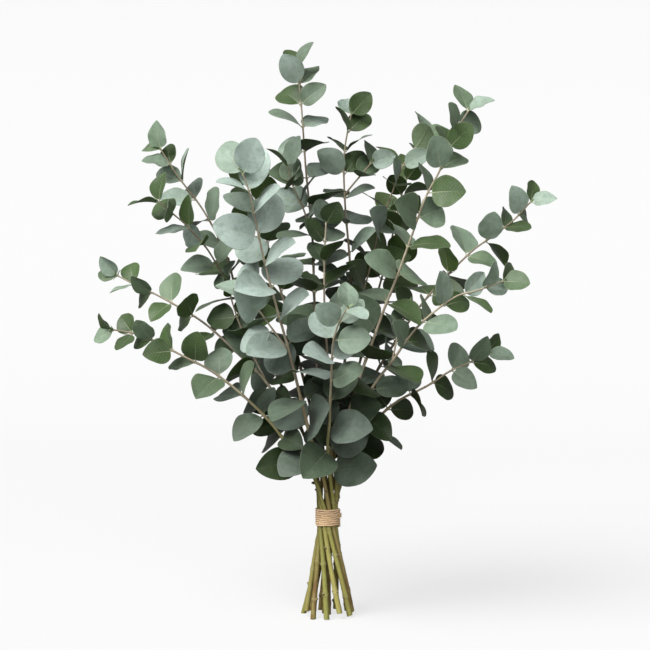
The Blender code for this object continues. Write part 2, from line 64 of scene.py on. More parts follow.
# a stem's seat in the tie, cut height, bare height, tip/full/low leaf lengths, last pair's turn,
# route and twigs, then its looks: how blue its leaves are, and how green and brown its bark is
stems = {
    "front_left_stem": {
        "seat": 6, "cut": 0, "bareTo": 168, "leaves": (41, 50, 56), "turn": 40, "seed": 56,
        "route": [(-6, -13, 150), (-16, -28, 183), (-23, -37, 214), (-30, -46, 243), (-46, -64, 305),
                  (-55, -75, 342), (-67, -90, 390), (-76, -104, 436), (-82, -110, 455)],
        "twigs": [[(-39, -57, 280), (-54, -60, 300), (-67, -62, 318), (-78, -62, 336)]],
        "blue": 0.95, "green": 0.0, "brown": 0.8, "slant": 30,
    },
    "front_stem": {
        "seat": 5, "cut": 0, "bareTo": 150, "leaves": (30, 47, 57), "turn": 50, "seed": 76,
        "route": [(1, -18, 155), (0, -36, 181), (2, -54, 209), (2, -70, 234), (4, -98, 280),
                  (8, -114, 303), (14, -126, 318), (19, -131, 326)],
        "blue": 0.85, "green": 0.7, "brown": 0.2, "slant": 0,
    },
    "right_tall_stem": {
        "seat": 4, "cut": 0, "bareTo": 165, "leaves": (32, 44, 51), "turn": 48, "seed": 69,
        "route": [(9, -11, 150), (17, -20, 197), (35, -26, 259), (53, -30, 310), (71, -35, 356),
                  (95, -43, 427), (113, -47, 462), (126, -51, 497), (140, -54, 521)],
        "blue": 0.6, "green": 0.45, "brown": 0.5, "slant": 8,
    },
    "right_middle_stem": {
        "seat": 3, "cut": 0, "bareTo": 160, "leaves": (28, 44, 51), "turn": 42, "seed": 37,
        "route": [(13, -4, 150), (25, -15, 187), (45, -28, 239), (65, -38, 269), (89, -48, 303),
                  (125, -57, 333), (148, -62, 341), (174, -68, 351)],
        "twigs": [[(66, -39, 271), (72, -34, 298), (84, -32, 330)]],
        "blue": 0.5, "green": 0.75, "brown": 0.5, "slant": 0,
    },
    "right_low_stem": {
        "seat": 2, "cut": 0, "bareTo": 150, "leaves": (29, 40, 46), "turn": 46, "seed": 70,
        "route": [(18, 3, 151), (33, -2, 183), (52, -6, 207), (73, -10, 226), (103, -13, 242),
                  (126, -16, 257), (144, -17, 265), (165, -19, 276)],
        "blue": 0.42, "green": 0.3, "brown": 1.0, "slant": 0,
    },
    "right_high_stem": {
        "seat": 1, "cut": 0, "bareTo": 170, "leaves": (29, 42, 51), "turn": 44, "seed": 81,
        "route": [(10, 11, 150), (25, 19, 192), (47, 25, 244), (72, 30, 286), (104, 36, 329),
                  (149, 42, 377), (176, 45, 397), (199, 47, 414), (218, 49, 434)],
        "blue": 0.45, "green": 1.0, "brown": 0.1, "slant": 0,
    },
    "back_right_stem": {
        "seat": 0, "cut": 5, "bareTo": 155, "leaves": (31, 45, 51), "turn": 45, "seed": 45,
        "route": [(3, 14, 150), (12, 27, 185), (28, 46, 240), (45, 68, 300), (60, 88, 355),
                  (72, 103, 400), (82, 114, 440), (88, 119, 462)],
        "blue": 0.5, "green": 0.6, "brown": 0.1, "slant": 14,
    },
    "back_left_stem": {
        "seat": 10, "cut": 0, "bareTo": 155, "leaves": (31, 45, 51), "turn": 40, "seed": 86,
        "route": [(-6, 13, 150), (-12, 27, 185), (-26, 47, 245), (-42, 70, 305), (-58, 90, 360),
                  (-72, 106, 410), (-84, 117, 450), (-90, 122, 475)],
        "blue": 0.5, "green": 0.7, "brown": 1.0, "slant": 0,
    },
    "left_tall_stem": {
        "seat": 9, "cut": 0, "bareTo": 165, "leaves": (31, 43, 51), "turn": 47, "seed": 37,
        "route": [(-12, 8, 150), (-24, 20, 183), (-45, 26, 230), (-69, 29, 282), (-93, 30, 329),
                  (-108, 30, 377), (-132, 30, 424), (-158, 30, 460), (-177, 30, 489)],
        "twigs": [[(-86, 30, 316), (-103, 12, 342), (-116, 2, 367), (-127, -6, 386), (-145, -14, 407),
                   (-160, -20, 420), (-173, -24, 431)]],
        "blue": 0.5, "green": 1.0, "brown": 0.0, "slant": 10,
    },
    "left_middle_stem": {
        "seat": 8, "cut": 5, "bareTo": 160, "leaves": (26, 40, 48), "turn": 38, "seed": 52,
        "route": [(-16, 1, 152), (-40, 4, 199), (-63, 6, 241), (-90, 8, 270), (-129, 10, 305),
                  (-174, 12, 332), (-197, 14, 343), (-222, 15, 356)],
        "twigs": [[(-65, 6, 244), (-84, 8, 285), (-98, 6, 322), (-106, 2, 352)]],
        "blue": 0.35, "green": 0.55, "brown": 0.15, "slant": 18, "buds": 3,
    },
    "left_low_stem": {
        "seat": 7, "cut": 0, "bareTo": 150, "leaves": (26, 41, 48), "turn": 44, "seed": 69,
        "route": [(-17, -8, 150), (-41, -13, 180), (-59, -16, 204), (-84, -20, 229), (-117, -25, 256),
                  (-141, -29, 270), (-167, -33, 284), (-188, -36, 295), (-218, -40, 301)],
        "blue": 0.45, "green": 0.75, "brown": 0.25, "slant": 20, "buds": 2,
    },
    "crown_stem": {
        "seat": 210, "foot": (-4, -7, 0), "cut": 3, "bareTo": 180, "leaves": (32, 43, 51), "turn": 45,
        "seed": 70,
        "route": [(-3, 4, 150), (-6, 11, 183), (-11, 16, 245), (-13, 22, 308), (-16, 29, 382),
                  (-20, 32, 435), (-27, 36, 516), (-32, 38, 577)],
        "twigs": [[(-17, 30, 396), (-26, 22, 425), (-36, 14, 448), (-42, 8, 470)]],
        "blue": 0.65, "green": 0.3, "brown": 0.75, "slant": 0,
    },
    "back_crown_stem": {
        "seat": 90, "foot": (-8, 3, 0), "cut": 4, "bareTo": 180, "leaves": (32, 43, 51), "turn": 42,
        "seed": 56,
        "route": [(4, 5, 150), (11, 19, 203), (18, 27, 265), (24, 33, 329), (24, 37, 369),
                  (18, 43, 430), (18, 47, 483), (25, 51, 528)],
        "twigs": [[(21, 31, 300), (33, 36, 325), (47, 42, 371), (56, 47, 406), (65, 51, 433),
                   (81, 57, 474), (105, 62, 506)],
                  [(18, 44, 441), (30, 40, 456), (46, 36, 475)]],
        "blue": 0.6, "green": 0.3, "brown": 0.8, "slant": 0,
    },
    "inner_stem": {
        "seat": 330, "foot": (0, 0, 0), "cut": 0, "bareTo": 170, "leaves": (31, 46, 53), "turn": 45,
        "seed": 71,
        "route": [(4, -5, 150), (3, -12, 200), (0, -17, 260), (-3, -18, 320), (-4, -16, 375),
                  (-2, -12, 410)],
        "blue": 0.62, "green": 0.2, "brown": 0.9, "slant": 0,
    },
}

# where a leaf would have touched another it was turned, lifted or made smaller by one of these
offsets = [
    (0, 0, 1.0), (0, -12, 1.0), (0, 12, 1.0), (14, 0, 1.0), (-14, 0, 1.0), (14, 12, 0.95),
    (-14, 12, 0.95), (14, -14, 0.95), (-14, -14, 0.95), (26, 0, 0.9), (-26, 0, 0.9),
    (0, 24, 0.9), (26, 18, 0.85), (-26, 18, 0.85), (38, 0, 0.85), (-38, 0, 0.85),
    (0, 0, 0.75), (20, -20, 0.75), (-20, -20, 0.75), (20, 30, 0.75), (-20, 30, 0.75),
]


# node helpers; where a setting has four values for ease, they are low, high, start and end
def put(tree, kind, inputs=None, **settings):
    made = tree.nodes.new("ShaderNode" + kind)
    for name, value in settings.items():
        setattr(made, name, value)
    for socket, value in (inputs or {}).items():
        if isinstance(value, bpy.types.NodeSocket):
            tree.links.new(value, made.inputs[socket])
        else:
            made.inputs[socket].default_value = value
    return made


def sums(tree, operation, a, b=0.0, c=0.0):
    return put(tree, "Math", {0: a, 1: b, 2: c}, operation=operation).outputs[0]


def times(tree, a, b):
    return sums(tree, "MULTIPLY", a, b)


def timesPlus(tree, a, b, c):
    return sums(tree, "MULTIPLY_ADD", a, b, c)


def ease(tree, value, low, high, start=0.0, end=1.0):  # a soft step from start to end
    return put(tree, "MapRange", {0: value, 1: low, 2: high, 3: start, 4: end},
               interpolation_type="SMOOTHSTEP").outputs[0]


def blendColours(tree, factor, a, b):
    return put(tree, "Mix", {0: factor, 6: a, 7: b}, data_type="RGBA").outputs[2]


def layered(tree, colour, *layers):  # each layer's colour over what is there, by its mask
    for mask, over in layers:
        colour = blendColours(tree, mask, colour, over)
    return colour


def noise(tree, place, scale, detail, roughness):
    return put(tree, "TexNoise", {"Vector": place, "Scale": scale, "Detail": detail,
                                  "Roughness": roughness}).outputs["Fac"]


def split(tree, vector):
    return put(tree, "SeparateXYZ", {0: vector}).outputs[:3]


def joinXyz(tree, x, y, z):
    return put(tree, "CombineXYZ", {0: x, 1: y, 2: z}).outputs[0]


def newGroup(name, inputs, outputs):
    tree = bpy.data.node_groups.new(name, "ShaderNodeTree")
    kinds = {"float": "NodeSocketFloat", "vector": "NodeSocketVector"}
    for way, sockets in (("INPUT", inputs), ("OUTPUT", outputs)):
        for socket, kind in sockets.items():
            tree.interface.new_socket(name=socket, in_out=way, socket_type=kinds[kind])
    start = tree.nodes.new("NodeGroupInput")
    end = tree.nodes.new("NodeGroupOutput")
    return tree, start.outputs, end.inputs


def useGroup(tree, group, inputs):
    return put(tree, "Group", inputs, node_tree=group).outputs


def attribute(tree, name, output="Vector"):
    return put(tree, "Attribute", attribute_name=name, attribute_type="GEOMETRY").outputs[output]


# effects that several finishes share, with lengths in millimetres
bloomLook = {"clouds": (0.3, 0.68, 0.72, 1.12), "smaller": 3.7, "smudges": (0.36, 0.56, 0.8, 1.05),
             "fine": 1.9, "grain": (0.3, 0.7, 0.93, 1.06), "mottle": (0.35, 0.65)}
veinLook = {"rib": (-0.42, 0.5), "ribEdge": (0.35, 1.25, 1.0, 0.0), "ribFade": (0.3, 0.85, 1.0, 0.15),
            "wander": 4.5, "wanderScale": 0.16, "climb": 0.72, "bend": -0.012,
            "line": (0.02, 0.13, 1.0, 0.0), "toEdge": (0.55, 0.95, 1.0, 0.15), "inner": 0.9,
            "innerLine": (0.0, 0.035, 0.6, 0.0), "net": 0.85, "netLine": (0.0, 0.09, 1.0, 0.0),
            "margin": (0.955, 0.995)}
grainLook = {"patchStretch": 4.0, "patchScale": 0.35}


def makeWaxBloom():  # the whitish wax on eucalyptus leaves: soft clouds, rubbed thin in smudges
    tree, given, out = newGroup("waxBloom", {"Place": "vector", "Amount": "float", "Cloud": "float"},
                                {"Bloom": "float", "Mottle": "float"})
    cloud = noise(tree, given["Place"], given["Cloud"], 3.0, 0.55)
    rubbed = noise(tree, given["Place"], times(tree, given["Cloud"], bloomLook["smaller"]), 2.0, 0.6)
    fine = noise(tree, given["Place"], bloomLook["fine"], 2.0, 0.6)
    clouds = ease(tree, cloud, *bloomLook["clouds"])
    smudge = ease(tree, rubbed, *bloomLook["smudges"])
    grain = ease(tree, fine, *bloomLook["grain"])
    spread = times(tree, times(tree, clouds, smudge), grain)
    tree.links.new(times(tree, spread, given["Amount"]), out["Bloom"])
    tree.links.new(ease(tree, fine, *bloomLook["mottle"]), out["Mottle"])
    return tree


def makeLeafVeins():  # midrib, side veins that curve to the tip, the vein inside the margin
    tree, given, out = newGroup(
        "leafVeins", {"Place": "vector", "Share": "float", "Seed": "float", "Spacing": "float"},
        {"Midrib": "float", "Side": "float", "Net": "float", "Margin": "float"})
    across, along, edge = split(tree, given["Place"])
    own = joinXyz(tree, across, along, given["Seed"])
    away = sums(tree, "ABSOLUTE", across)
    beyond = sums(tree, "DIVIDE", away, timesPlus(tree, given["Share"], *veinLook["rib"]))
    ribFade = ease(tree, given["Share"], *veinLook["ribFade"])
    tree.links.new(times(tree, ease(tree, beyond, *veinLook["ribEdge"]), ribFade), out["Midrib"])
    rise = sums(tree, "SUBTRACT", along, times(tree, away, veinLook["climb"]))
    rise = timesPlus(tree, times(tree, away, away), veinLook["bend"], rise)
    rise = timesPlus(tree, noise(tree, own, veinLook["wanderScale"], 2.0, 0.5), veinLook["wander"], rise)
    phase = sums(tree, "FRACT", sums(tree, "DIVIDE", rise, given["Spacing"]))
    line = sums(tree, "ABSOLUTE", sums(tree, "SUBTRACT", phase, 0.5))
    edgeShare = sums(tree, "ABSOLUTE", edge)
    side = times(tree, ease(tree, line, *veinLook["line"]), ease(tree, edgeShare, *veinLook["toEdge"]))
    inset = sums(tree, "ABSOLUTE", sums(tree, "SUBTRACT", edgeShare, veinLook["inner"]))
    inner = ease(tree, inset, *veinLook["innerLine"])
    tree.links.new(sums(tree, "MAXIMUM", side, inner), out["Side"])
    cells = put(tree, "TexVoronoi", {"Vector": own, "Scale": veinLook["net"]}, feature="DISTANCE_TO_EDGE")
    tree.links.new(ease(tree, cells.outputs["Distance"], *veinLook["netLine"]), out["Net"])
    tree.links.new(ease(tree, edgeShare, *veinLook["margin"]), out["Margin"])
    return tree


def makeSpecks():  # oil glands and small blemishes
    tree, given, out = newGroup("specks", {"Place": "vector", "Scale": "float", "Size": "float",
                                           "Share": "float"}, {"Mask": "float"})
    cells = put(tree, "TexVoronoi", {"Vector": given["Place"], "Scale": given["Scale"]})
    near = ease(tree, cells.outputs["Distance"], 0.0, given["Size"], 1.0, 0.0)
    picked = sums(tree, "LESS_THAN", split(tree, cells.outputs["Color"])[0], given["Share"])
    tree.links.new(times(tree, near, picked), out["Mask"])
    return tree


def makeGrain():  # streaks along a stem or a fibre
    tree, given, out = newGroup("alongGrain", {"Place": "vector", "Fineness": "float",
                                               "Stretch": "float"},
                                {"Streak": "float", "Patch": "float"})
    x, y, z = split(tree, given["Place"])
    long = joinXyz(tree, x, y, sums(tree, "DIVIDE", z, given["Stretch"]))
    tree.links.new(noise(tree, long, given["Fineness"], 4.0, 0.6), out["Streak"])
    wide = joinXyz(tree, x, y, sums(tree, "DIVIDE", z, grainLook["patchStretch"]))
    tree.links.new(noise(tree, wide, grainLook["patchScale"], 3.0, 0.6), out["Patch"])
    return tree


def material(name):
    made = bpy.data.materials.new(name)
    made.use_nodes = True
    tree = made.node_tree
    return made, tree, tree.nodes["Principled BSDF"]


def setEvenly(shader, values):  # values that are the same all over
    for socket, value in values.items():
        shader.inputs[socket].default_value = value


def bumped(tree, shader, height, strength, distance):
    bump = put(tree, "Bump", {"Height": height, "Strength": strength, "Distance": distance})
    tree.links.new(bump.outputs[0], shader.inputs["Normal"])


print("finishes: shared effects")
waxBloom = makeWaxBloom()
leafVeins = makeLeafVeins()
specks = makeSpecks()
alongGrain = makeGrain()

leafFinish = {  # where a setting holds True and False, True is for the underside
    "waxBlue": (0.345, 0.425, 0.382, 1), "waxGreen": (0.118, 0.188, 0.060, 1),
    "bladeBlue": (0.100, 0.150, 0.105, 1), "bladeGreen": (0.026, 0.056, 0.008, 1),
    "underGreen": (0.058, 0.100, 0.018, 1), "underGrey": (0.170, 0.220, 0.145, 1),
    "rib": (0.40, 0.42, 0.27, 1), "vein": (0.30, 0.36, 0.27, 1), "edge": (0.31, 0.33, 0.24, 1),
    "speck": (0.040, 0.070, 0.035, 1), "blemish": (0.19, 0.13, 0.06, 1),
    "veinSpacing": 3.4, "cloud": 0.055, "wax": {True: (0.55, 0.1), False: (0.8, 0.22)},
    "glands": {"Scale": 0.62, "Size": 0.13, "Share": 0.3}, "marks": {"Scale": 0.12, "Size": 0.1},
    "veinPale": (0.16, 0.1), "netPale": 0.06, "ribPale": (0.4, 0.34), "glandDark": 0.4,
    "markDark": 0.7, "edgePale": 0.5, "stalkPale": (0.02, 0.15, 0.7, 0.0),
    "mottleRise": 0.22, "veinRise": {True: 0.5, False: -0.4}, "netRise": {True: 0.12, False: -0.1},
    "rough": (0.1, 1.0, 0.38, 0.62), "bump": (0.35, 0.0004), "sheen": {True: 0.02, False: 0.05},
}


def makeLeafMaterial(name, under):
    made, tree, shader = material(name)
    place = attribute(tree, "leafPlace")
    share = attribute(tree, "leafShare", "Fac")
    blue, light, age = split(tree, attribute(tree, "leafTone"))
    seed = attribute(tree, "leafSeed", "Fac")
    x, y, _ = split(tree, place)
    spot = joinXyz(tree, x, y, seed)
    own = sums(tree, "FRACT", times(tree, seed, 0.618))  # each leaf's own value, 0 to 1
    veins = useGroup(tree, leafVeins, {"Place": place, "Share": share, "Seed": seed,
                                       "Spacing": leafFinish["veinSpacing"]})
    amount = timesPlus(tree, blue, *leafFinish["wax"][under])
    bloom = useGroup(tree, waxBloom, {"Place": spot, "Amount": amount, "Cloud": leafFinish["cloud"]})
    glands = useGroup(tree, specks, {"Place": spot, **leafFinish["glands"]})
    marks = useGroup(tree, specks, {"Place": spot, "Share": age, **leafFinish["marks"]})
    if under:
        blade = leafFinish["underGreen"]
        wax = blendColours(tree, blue, leafFinish["underGreen"], leafFinish["underGrey"])
    else:
        blade = blendColours(tree, blue, leafFinish["bladeGreen"], leafFinish["bladeBlue"])
        wax = blendColours(tree, blue, leafFinish["waxGreen"], leafFinish["waxBlue"])
    veinMask = times(tree, veins["Side"], timesPlus(tree, own, *leafFinish["veinPale"]))
    ribMask = times(tree, veins["Midrib"], timesPlus(tree, own, *leafFinish["ribPale"]))
    colour = layered(
        tree, blade,
        (sums(tree, "MINIMUM", bloom["Bloom"], 1.0), wax),
        (timesPlus(tree, veins["Net"], leafFinish["netPale"], veinMask), leafFinish["vein"]),
        (ribMask, leafFinish["rib"]),
        (times(tree, glands["Mask"], leafFinish["glandDark"]), leafFinish["speck"]),
        (times(tree, marks["Mask"], leafFinish["markDark"]), leafFinish["blemish"]),
        (times(tree, veins["Margin"], leafFinish["edgePale"]), leafFinish["edge"]),
        (ease(tree, share, *leafFinish["stalkPale"]), leafFinish["rib"]),
    )
    # Value: each leaf's own brightness, times the painted shade on inner and low leaves
    shade = put(tree, "HueSaturation", {"Value": light, "Color": colour})
    tree.links.new(shade.outputs[0], shader.inputs["Base Color"])
    tree.links.new(ease(tree, bloom["Bloom"], *leafFinish["rough"]), shader.inputs["Roughness"])
    relief = times(tree, bloom["Mottle"], leafFinish["mottleRise"])
    relief = timesPlus(tree, veins["Side"], leafFinish["veinRise"][under], relief)
    relief = timesPlus(tree, veins["Net"], leafFinish["netRise"][under], relief)
    bumped(tree, shader, relief, *leafFinish["bump"])
    setEvenly(shader, {"Subsurface Weight": 0.1, "Subsurface Radius": (0.5, 1.0, 0.35),
                       "Subsurface Scale": 0.0012, "Specular IOR Level": 0.26,
                       "Sheen Weight": leafFinish["sheen"][under], "Sheen Roughness": 0.45})
    return made


barkFinish = {
    "tan": (0.42, 0.38, 0.28, 1), "pink": (0.33, 0.27, 0.195, 1), "olive": (0.34, 0.275, 0.085, 1),
    "lightOlive": (0.46, 0.39, 0.155, 1), "green": (0.27, 0.27, 0.062, 1),
    "lightGreen": (0.44, 0.46, 0.115, 1), "brown": (0.215, 0.125, 0.040, 1),
    "dark": (0.070, 0.045, 0.018, 1), "node": (0.50, 0.44, 0.24, 1), "lenticel": (0.46, 0.38, 0.22, 1),
    "grain": {"Fineness": 1.4, "Stretch": 9.0}, "pores": {"Scale": 0.5, "Size": 0.18, "Share": 0.35},
    "poreFlat": 2.2, "patches": (0.38, 0.62), "streaks": (0.3, 0.7), "brownest": (0.36, 0.54, 0.3, 1.0),
    "scarFrom": (0.2, 0.4), "scarTo": (0.5, 0.75, 1.0, 0.0), "cracks": (0.5, 0.72, 0.0, 0.55),
    "porePale": 0.6, "nodePale": 0.14, "scarDark": 0.16, "poreRise": 0.5,
    "rough": (0.0, 1.0, 0.66, 0.46), "bump": (0.6, 0.0006),
}


def makeBarkMaterial():
    made, tree, shader = material("stemBark")
    place = attribute(tree, "barkPlace")
    low, brown, pale = split(tree, attribute(tree, "barkTone"))
    green, dark, _ = split(tree, attribute(tree, "barkShade"))
    x, y, z = split(tree, place)
    flat = joinXyz(tree, x, y, times(tree, z, barkFinish["poreFlat"]))
    grain = useGroup(tree, alongGrain, {"Place": place, **barkFinish["grain"]})
    pores = useGroup(tree, specks, {"Place": flat, **barkFinish["pores"]})
    streak = ease(tree, grain["Streak"], *barkFinish["streaks"])
    olive = blendColours(tree, streak, barkFinish["olive"], barkFinish["lightOlive"])
    fresh = blendColours(tree, streak, barkFinish["green"], barkFinish["lightGreen"])
    brownest = ease(tree, grain["Patch"], *barkFinish["brownest"])
    scar = times(tree, ease(tree, pale, *barkFinish["scarFrom"]), ease(tree, pale, *barkFinish["scarTo"]))
    colour = layered(
        tree, barkFinish["tan"],
        (ease(tree, grain["Patch"], *barkFinish["patches"]), barkFinish["pink"]),
        (low, blendColours(tree, green, olive, fresh)),
        (times(tree, brown, brownest), barkFinish["brown"]),
        (ease(tree, grain["Streak"], *barkFinish["cracks"]), barkFinish["dark"]),
        # the dark channel: painted shade on stems at the back, and the stubs' own darker tone
        (dark, barkFinish["dark"]),
        (times(tree, pores["Mask"], barkFinish["porePale"]), barkFinish["lenticel"]),
        (times(tree, pale, barkFinish["nodePale"]), barkFinish["node"]),
        (times(tree, scar, barkFinish["scarDark"]), barkFinish["dark"]),
    )
    relief = timesPlus(tree, pores["Mask"], barkFinish["poreRise"], grain["Streak"])
    tree.links.new(colour, shader.inputs["Base Color"])
    tree.links.new(ease(tree, low, *barkFinish["rough"]), shader.inputs["Roughness"])
    bumped(tree, shader, relief, *barkFinish["bump"])
    setEvenly(shader, {"Specular IOR Level": 0.3})
    return made


cutFinish = {
    "pale": (0.50, 0.44, 0.26, 1), "ring": (0.36, 0.30, 0.15, 1), "pith": (0.20, 0.12, 0.05, 1),
    "rim": (0.20, 0.20, 0.06, 1), "fineness": 1.6, "rings": 9.0, "waver": 4.0,
    "ringShare": (-1.0, 1.0, 0.0, 0.4), "pithTo": (0.25, 0.6, 0.85, 0.0), "rimFrom": (2.4, 2.8),
}


def makeCutMaterial():  # the sawn end of a stem: bark rim, pale wood with rings, a brown pith
    made, tree, shader = material("cutWood")
    place = attribute(tree, "barkPlace")
    x, y, _ = split(tree, place)
    out = put(tree, "VectorMath", {0: joinXyz(tree, x, y, 0.0)}, operation="LENGTH").outputs["Value"]
    rough = noise(tree, place, cutFinish["fineness"], 3.0, 0.6)
    waver = times(tree, rough, cutFinish["waver"])
    ring = sums(tree, "SINE", timesPlus(tree, out, cutFinish["rings"], waver))
    colour = layered(
        tree, cutFinish["pale"],
        (ease(tree, ring, *cutFinish["ringShare"]), cutFinish["ring"]),
        (ease(tree, out, *cutFinish["pithTo"]), cutFinish["pith"]),
        (ease(tree, out, *cutFinish["rimFrom"]), cutFinish["rim"]),
    )
    tree.links.new(colour, shader.inputs["Base Color"])
    setEvenly(shader, {"Roughness": 0.8})
    bumped(tree, shader, rough, 0.5, 0.0004)
    return made


youngFinish = {"green": (0.17, 0.25, 0.07, 1), "wax": (0.20, 0.27, 0.16, 1),
               "bloom": {"Amount": 0.75, "Cloud": 0.3}, "rough": (0.1, 1.0, 0.4, 0.6)}


def makeBudMaterial():  # new growth at the tips
    made, tree, shader = material("youngLeaf")
    bloom = useGroup(tree, waxBloom, {"Place": attribute(tree, "leafPlace"), **youngFinish["bloom"]})
    waxed = sums(tree, "MINIMUM", bloom["Bloom"], 1.0)
    colour = blendColours(tree, waxed, youngFinish["green"], youngFinish["wax"])
    tree.links.new(colour, shader.inputs["Base Color"])
    tree.links.new(ease(tree, bloom["Bloom"], *youngFinish["rough"]), shader.inputs["Roughness"])
    bumped(tree, shader, bloom["Mottle"], 0.3, 0.0002)
    return made


# dark is painted shade for the grooves between the strands and turns
twineFinish = {
    "light": (0.88, 0.635, 0.39, 1), "mid": (0.74, 0.50, 0.275, 1), "dark": (0.22, 0.12, 0.045, 1),
    "straw": (0.90, 0.73, 0.50, 1), "grain": {"Fineness": 2.6, "Stretch": 7.0},
    "streaks": (0.35, 0.65), "straws": (0.52, 0.72, 0.0, 0.6), "paintedGrooveShade": (0.0, 0.6, 0.9, 0.0),
}


def makeTwineMaterial(name, rough):
    made, tree, shader = material(name)
    depth = attribute(tree, "twineDepth", "Fac")  # 1 on the crown of a strand, 0 in the groove, where shade is painted
    grain = useGroup(tree, alongGrain, {"Place": attribute(tree, "twinePlace"), **twineFinish["grain"]})
    colour = layered(
        tree, twineFinish["mid"],
        (ease(tree, grain["Streak"], *twineFinish["streaks"]), twineFinish["light"]),
        (ease(tree, grain["Patch"], *twineFinish["straws"]), twineFinish["straw"]),
        (ease(tree, depth, *twineFinish["paintedGrooveShade"]), twineFinish["dark"]),
    )
    tree.links.new(colour, shader.inputs["Base Color"])
    setEvenly(shader, {"Roughness": rough, "Specular IOR Level": 0.2, "Sheen Weight": 0.25})
    bumped(tree, shader, grain["Streak"], 0.7, 0.0006)
    return made


print("finishes: leaves, bark, cut wood and twine")
leafUpper = makeLeafMaterial("leafUpper", False)
leafUnder = makeLeafMaterial("leafUnder", True)
stemBark = makeBarkMaterial()
cutWood = makeCutMaterial()
youngLeaf = makeBudMaterial()
juteTwine = makeTwineMaterial("juteTwine", 0.88)
juteFibre = makeTwineMaterial("juteFibre", 0.8)


# a mesh that is gathered part by part, with what its finish reads at each point
class Gathered:
    def __init__(self, kinds):
        self.kinds = kinds  # attribute name to number of values a point has
        self.points = []
        self.faces = []
        self.finishes = []
        self.values = {name: [] for name in kinds}
        self.count = 0

    def add(self, points, faces, finish, **values):
        faces = [tuple(int(i) + self.count for i in face) for face in faces]
        self.points.append(np.asarray(points, float))
        self.faces += faces
        self.finishes += [finish] * len(faces) if isinstance(finish, int) else list(finish)
        for name, size in self.kinds.items():
            value = np.asarray(values[name], float)
            shape = (len(points), size) if size > 1 else (len(points),)
            self.values[name].append(np.broadcast_to(value, shape))
        self.count += len(points)

    def build(self, name, materials):
        mesh = bpy.data.meshes.new(name)
        mesh.from_pydata(np.concatenate(self.points) * mm, [], self.faces)
        for each, size in self.kinds.items():
            kind = "FLOAT_VECTOR" if size == 3 else "FLOAT"
            layer = mesh.attributes.new(each, kind, "POINT")
            data = np.concatenate(self.values[each]).astype(np.float32).ravel()
            layer.data.foreach_set("vector" if size == 3 else "value", data)
        for each in materials:
            mesh.materials.append(each)
        mesh.polygons.foreach_set("material_index", self.finishes)
        mesh.shade_smooth()
        mesh.update()
        made = bpy.data.objects.new(name, mesh)
        bpy.context.scene.collection.objects.link(made)
        return made


# the lines that stems and twigs follow
def roundTheAxis(radius, degrees):
    angle = math.radians(degrees)
    return Vector((radius * math.cos(angle), radius * math.sin(angle), 0))


def turned(vector, axis, degrees):
    return Matrix.Rotation(math.radians(degrees), 3, axis) @ vector


def squareTo(vector, axis):  # the part of a direction that is square to an axis
    return (vector - axis * vector.dot(axis)).normalized()


def rowsOf(points):
    return np.array([tuple(p) for p in points])


def footAndSeat(stem):
    if "foot" in stem:
        return Vector(stem["foot"]), roundTheAxis(tie["coreRadius"], stem["seat"]) + up * tie["height"]
    angle = tie["ringFirst"] - stem["seat"] * 360.0 / tie["ringStems"]
    seat = roundTheAxis(tie["ringRadius"], angle) + up * tie["height"]
    sideways = roundTheAxis(tie["slope"] * tie["height"], angle + 90)
    return seat + sideways - up * tie["height"], seat


def curveThrough(points, step):
    spread = [points[0] * 2 - points[1], *points, points[-1] * 2 - points[-2]]
    found = [points[0].copy()]
    for before, start, end, after in zip(spread, spread[1:], spread[2:], spread[3:]):
        count = max(1, round((end - start).length / step))
        for i in range(1, count + 1):
            u = i / count
            found.append(0.5 * (
                2 * start
                + (end - before) * u
                + (2 * before - 5 * start + 4 * end - after) * u ** 2
                + (3 * start - before - 3 * end + after) * u ** 3
            ))
    return found


def straight(points, step):  # the same straight runs, in short steps
    found = [points[0].copy()]
    for start, end in zip(points, points[1:]):
        count = max(1, round((end - start).length / step))
        found += [start.lerp(end, i / count) for i in range(1, count + 1)]
    return found


class Axis:
    def __init__(self, points, first, last, pinch=None):
        self.points = points
        self.travel = [0.0]
        for a, b in zip(points, points[1:]):
            self.travel.append(self.travel[-1] + (b - a).length)
        self.length = self.travel[-1]
        self.first, self.last, self.pinch = first, last, pinch

    def at(self, distance):
        for a, b, start, end in zip(self.points, self.points[1:], self.travel, self.travel[1:]):
            if distance <= end:
                break
        return a.lerp(b, (distance - start) / (end - start)), (b - a).normalized()

    def diameter(self, distance):
        if self.pinch is None:
            return self.first + (self.last - self.first) * distance / self.length
        tieAt, slim = self.pinch
        if distance < tieAt:
            return self.first + (slim - self.first) * distance / tieAt
        return slim + (self.last - slim) * ((distance - tieAt) / (self.length - tieAt)) ** wood["taper"]


def stemAxes(stem):  # the coarse line that the leaves were placed on, and the fine one of the bark
    foot, seat = footAndSeat(stem)
    rise = (seat - foot) / tie["height"]
    below = foot - rise * tie["allowance"]
    waist = [seat - rise * tie["length"] / 2, seat + rise * tie["length"] / 2]
    upper = [waist[1], *[Vector(p) for p in stem["route"]]]
    tieAt = (seat - below).length
    coarse = [below, waist[0], *curveThrough(upper, wood["step"])]
    fine = straight([below, *waist], wood["fineStep"])[:-1] + curveThrough(upper, wood["fineStep"])
    return [Axis(p, wood["foot"], wood["tip"], (tieAt, wood["tie"])) for p in (coarse, fine)]


def twigAxes(route):
    places = [Vector(p) for p in route]
    return [Axis(curveThrough(places, step), wood["twig"], wood["tip"])
            for step in (wood["step"], wood["fineStep"])]


def leafPairs(axis, lowest):
    found = []
    distance = axis.length - leafRule["tipInset"]
    while distance > 0:
        place, growth = axis.at(distance)
        if place.z < lowest:
            break
        full = min(1.0, len(found) / leafRule["growthPairs"])
        found.append((place, growth, axis.diameter(distance) / 2, full, distance))
        distance -= leafRule["tipSpacing"] + (leafRule["fullSpacing"] - leafRule["tipSpacing"]) * full
    return found


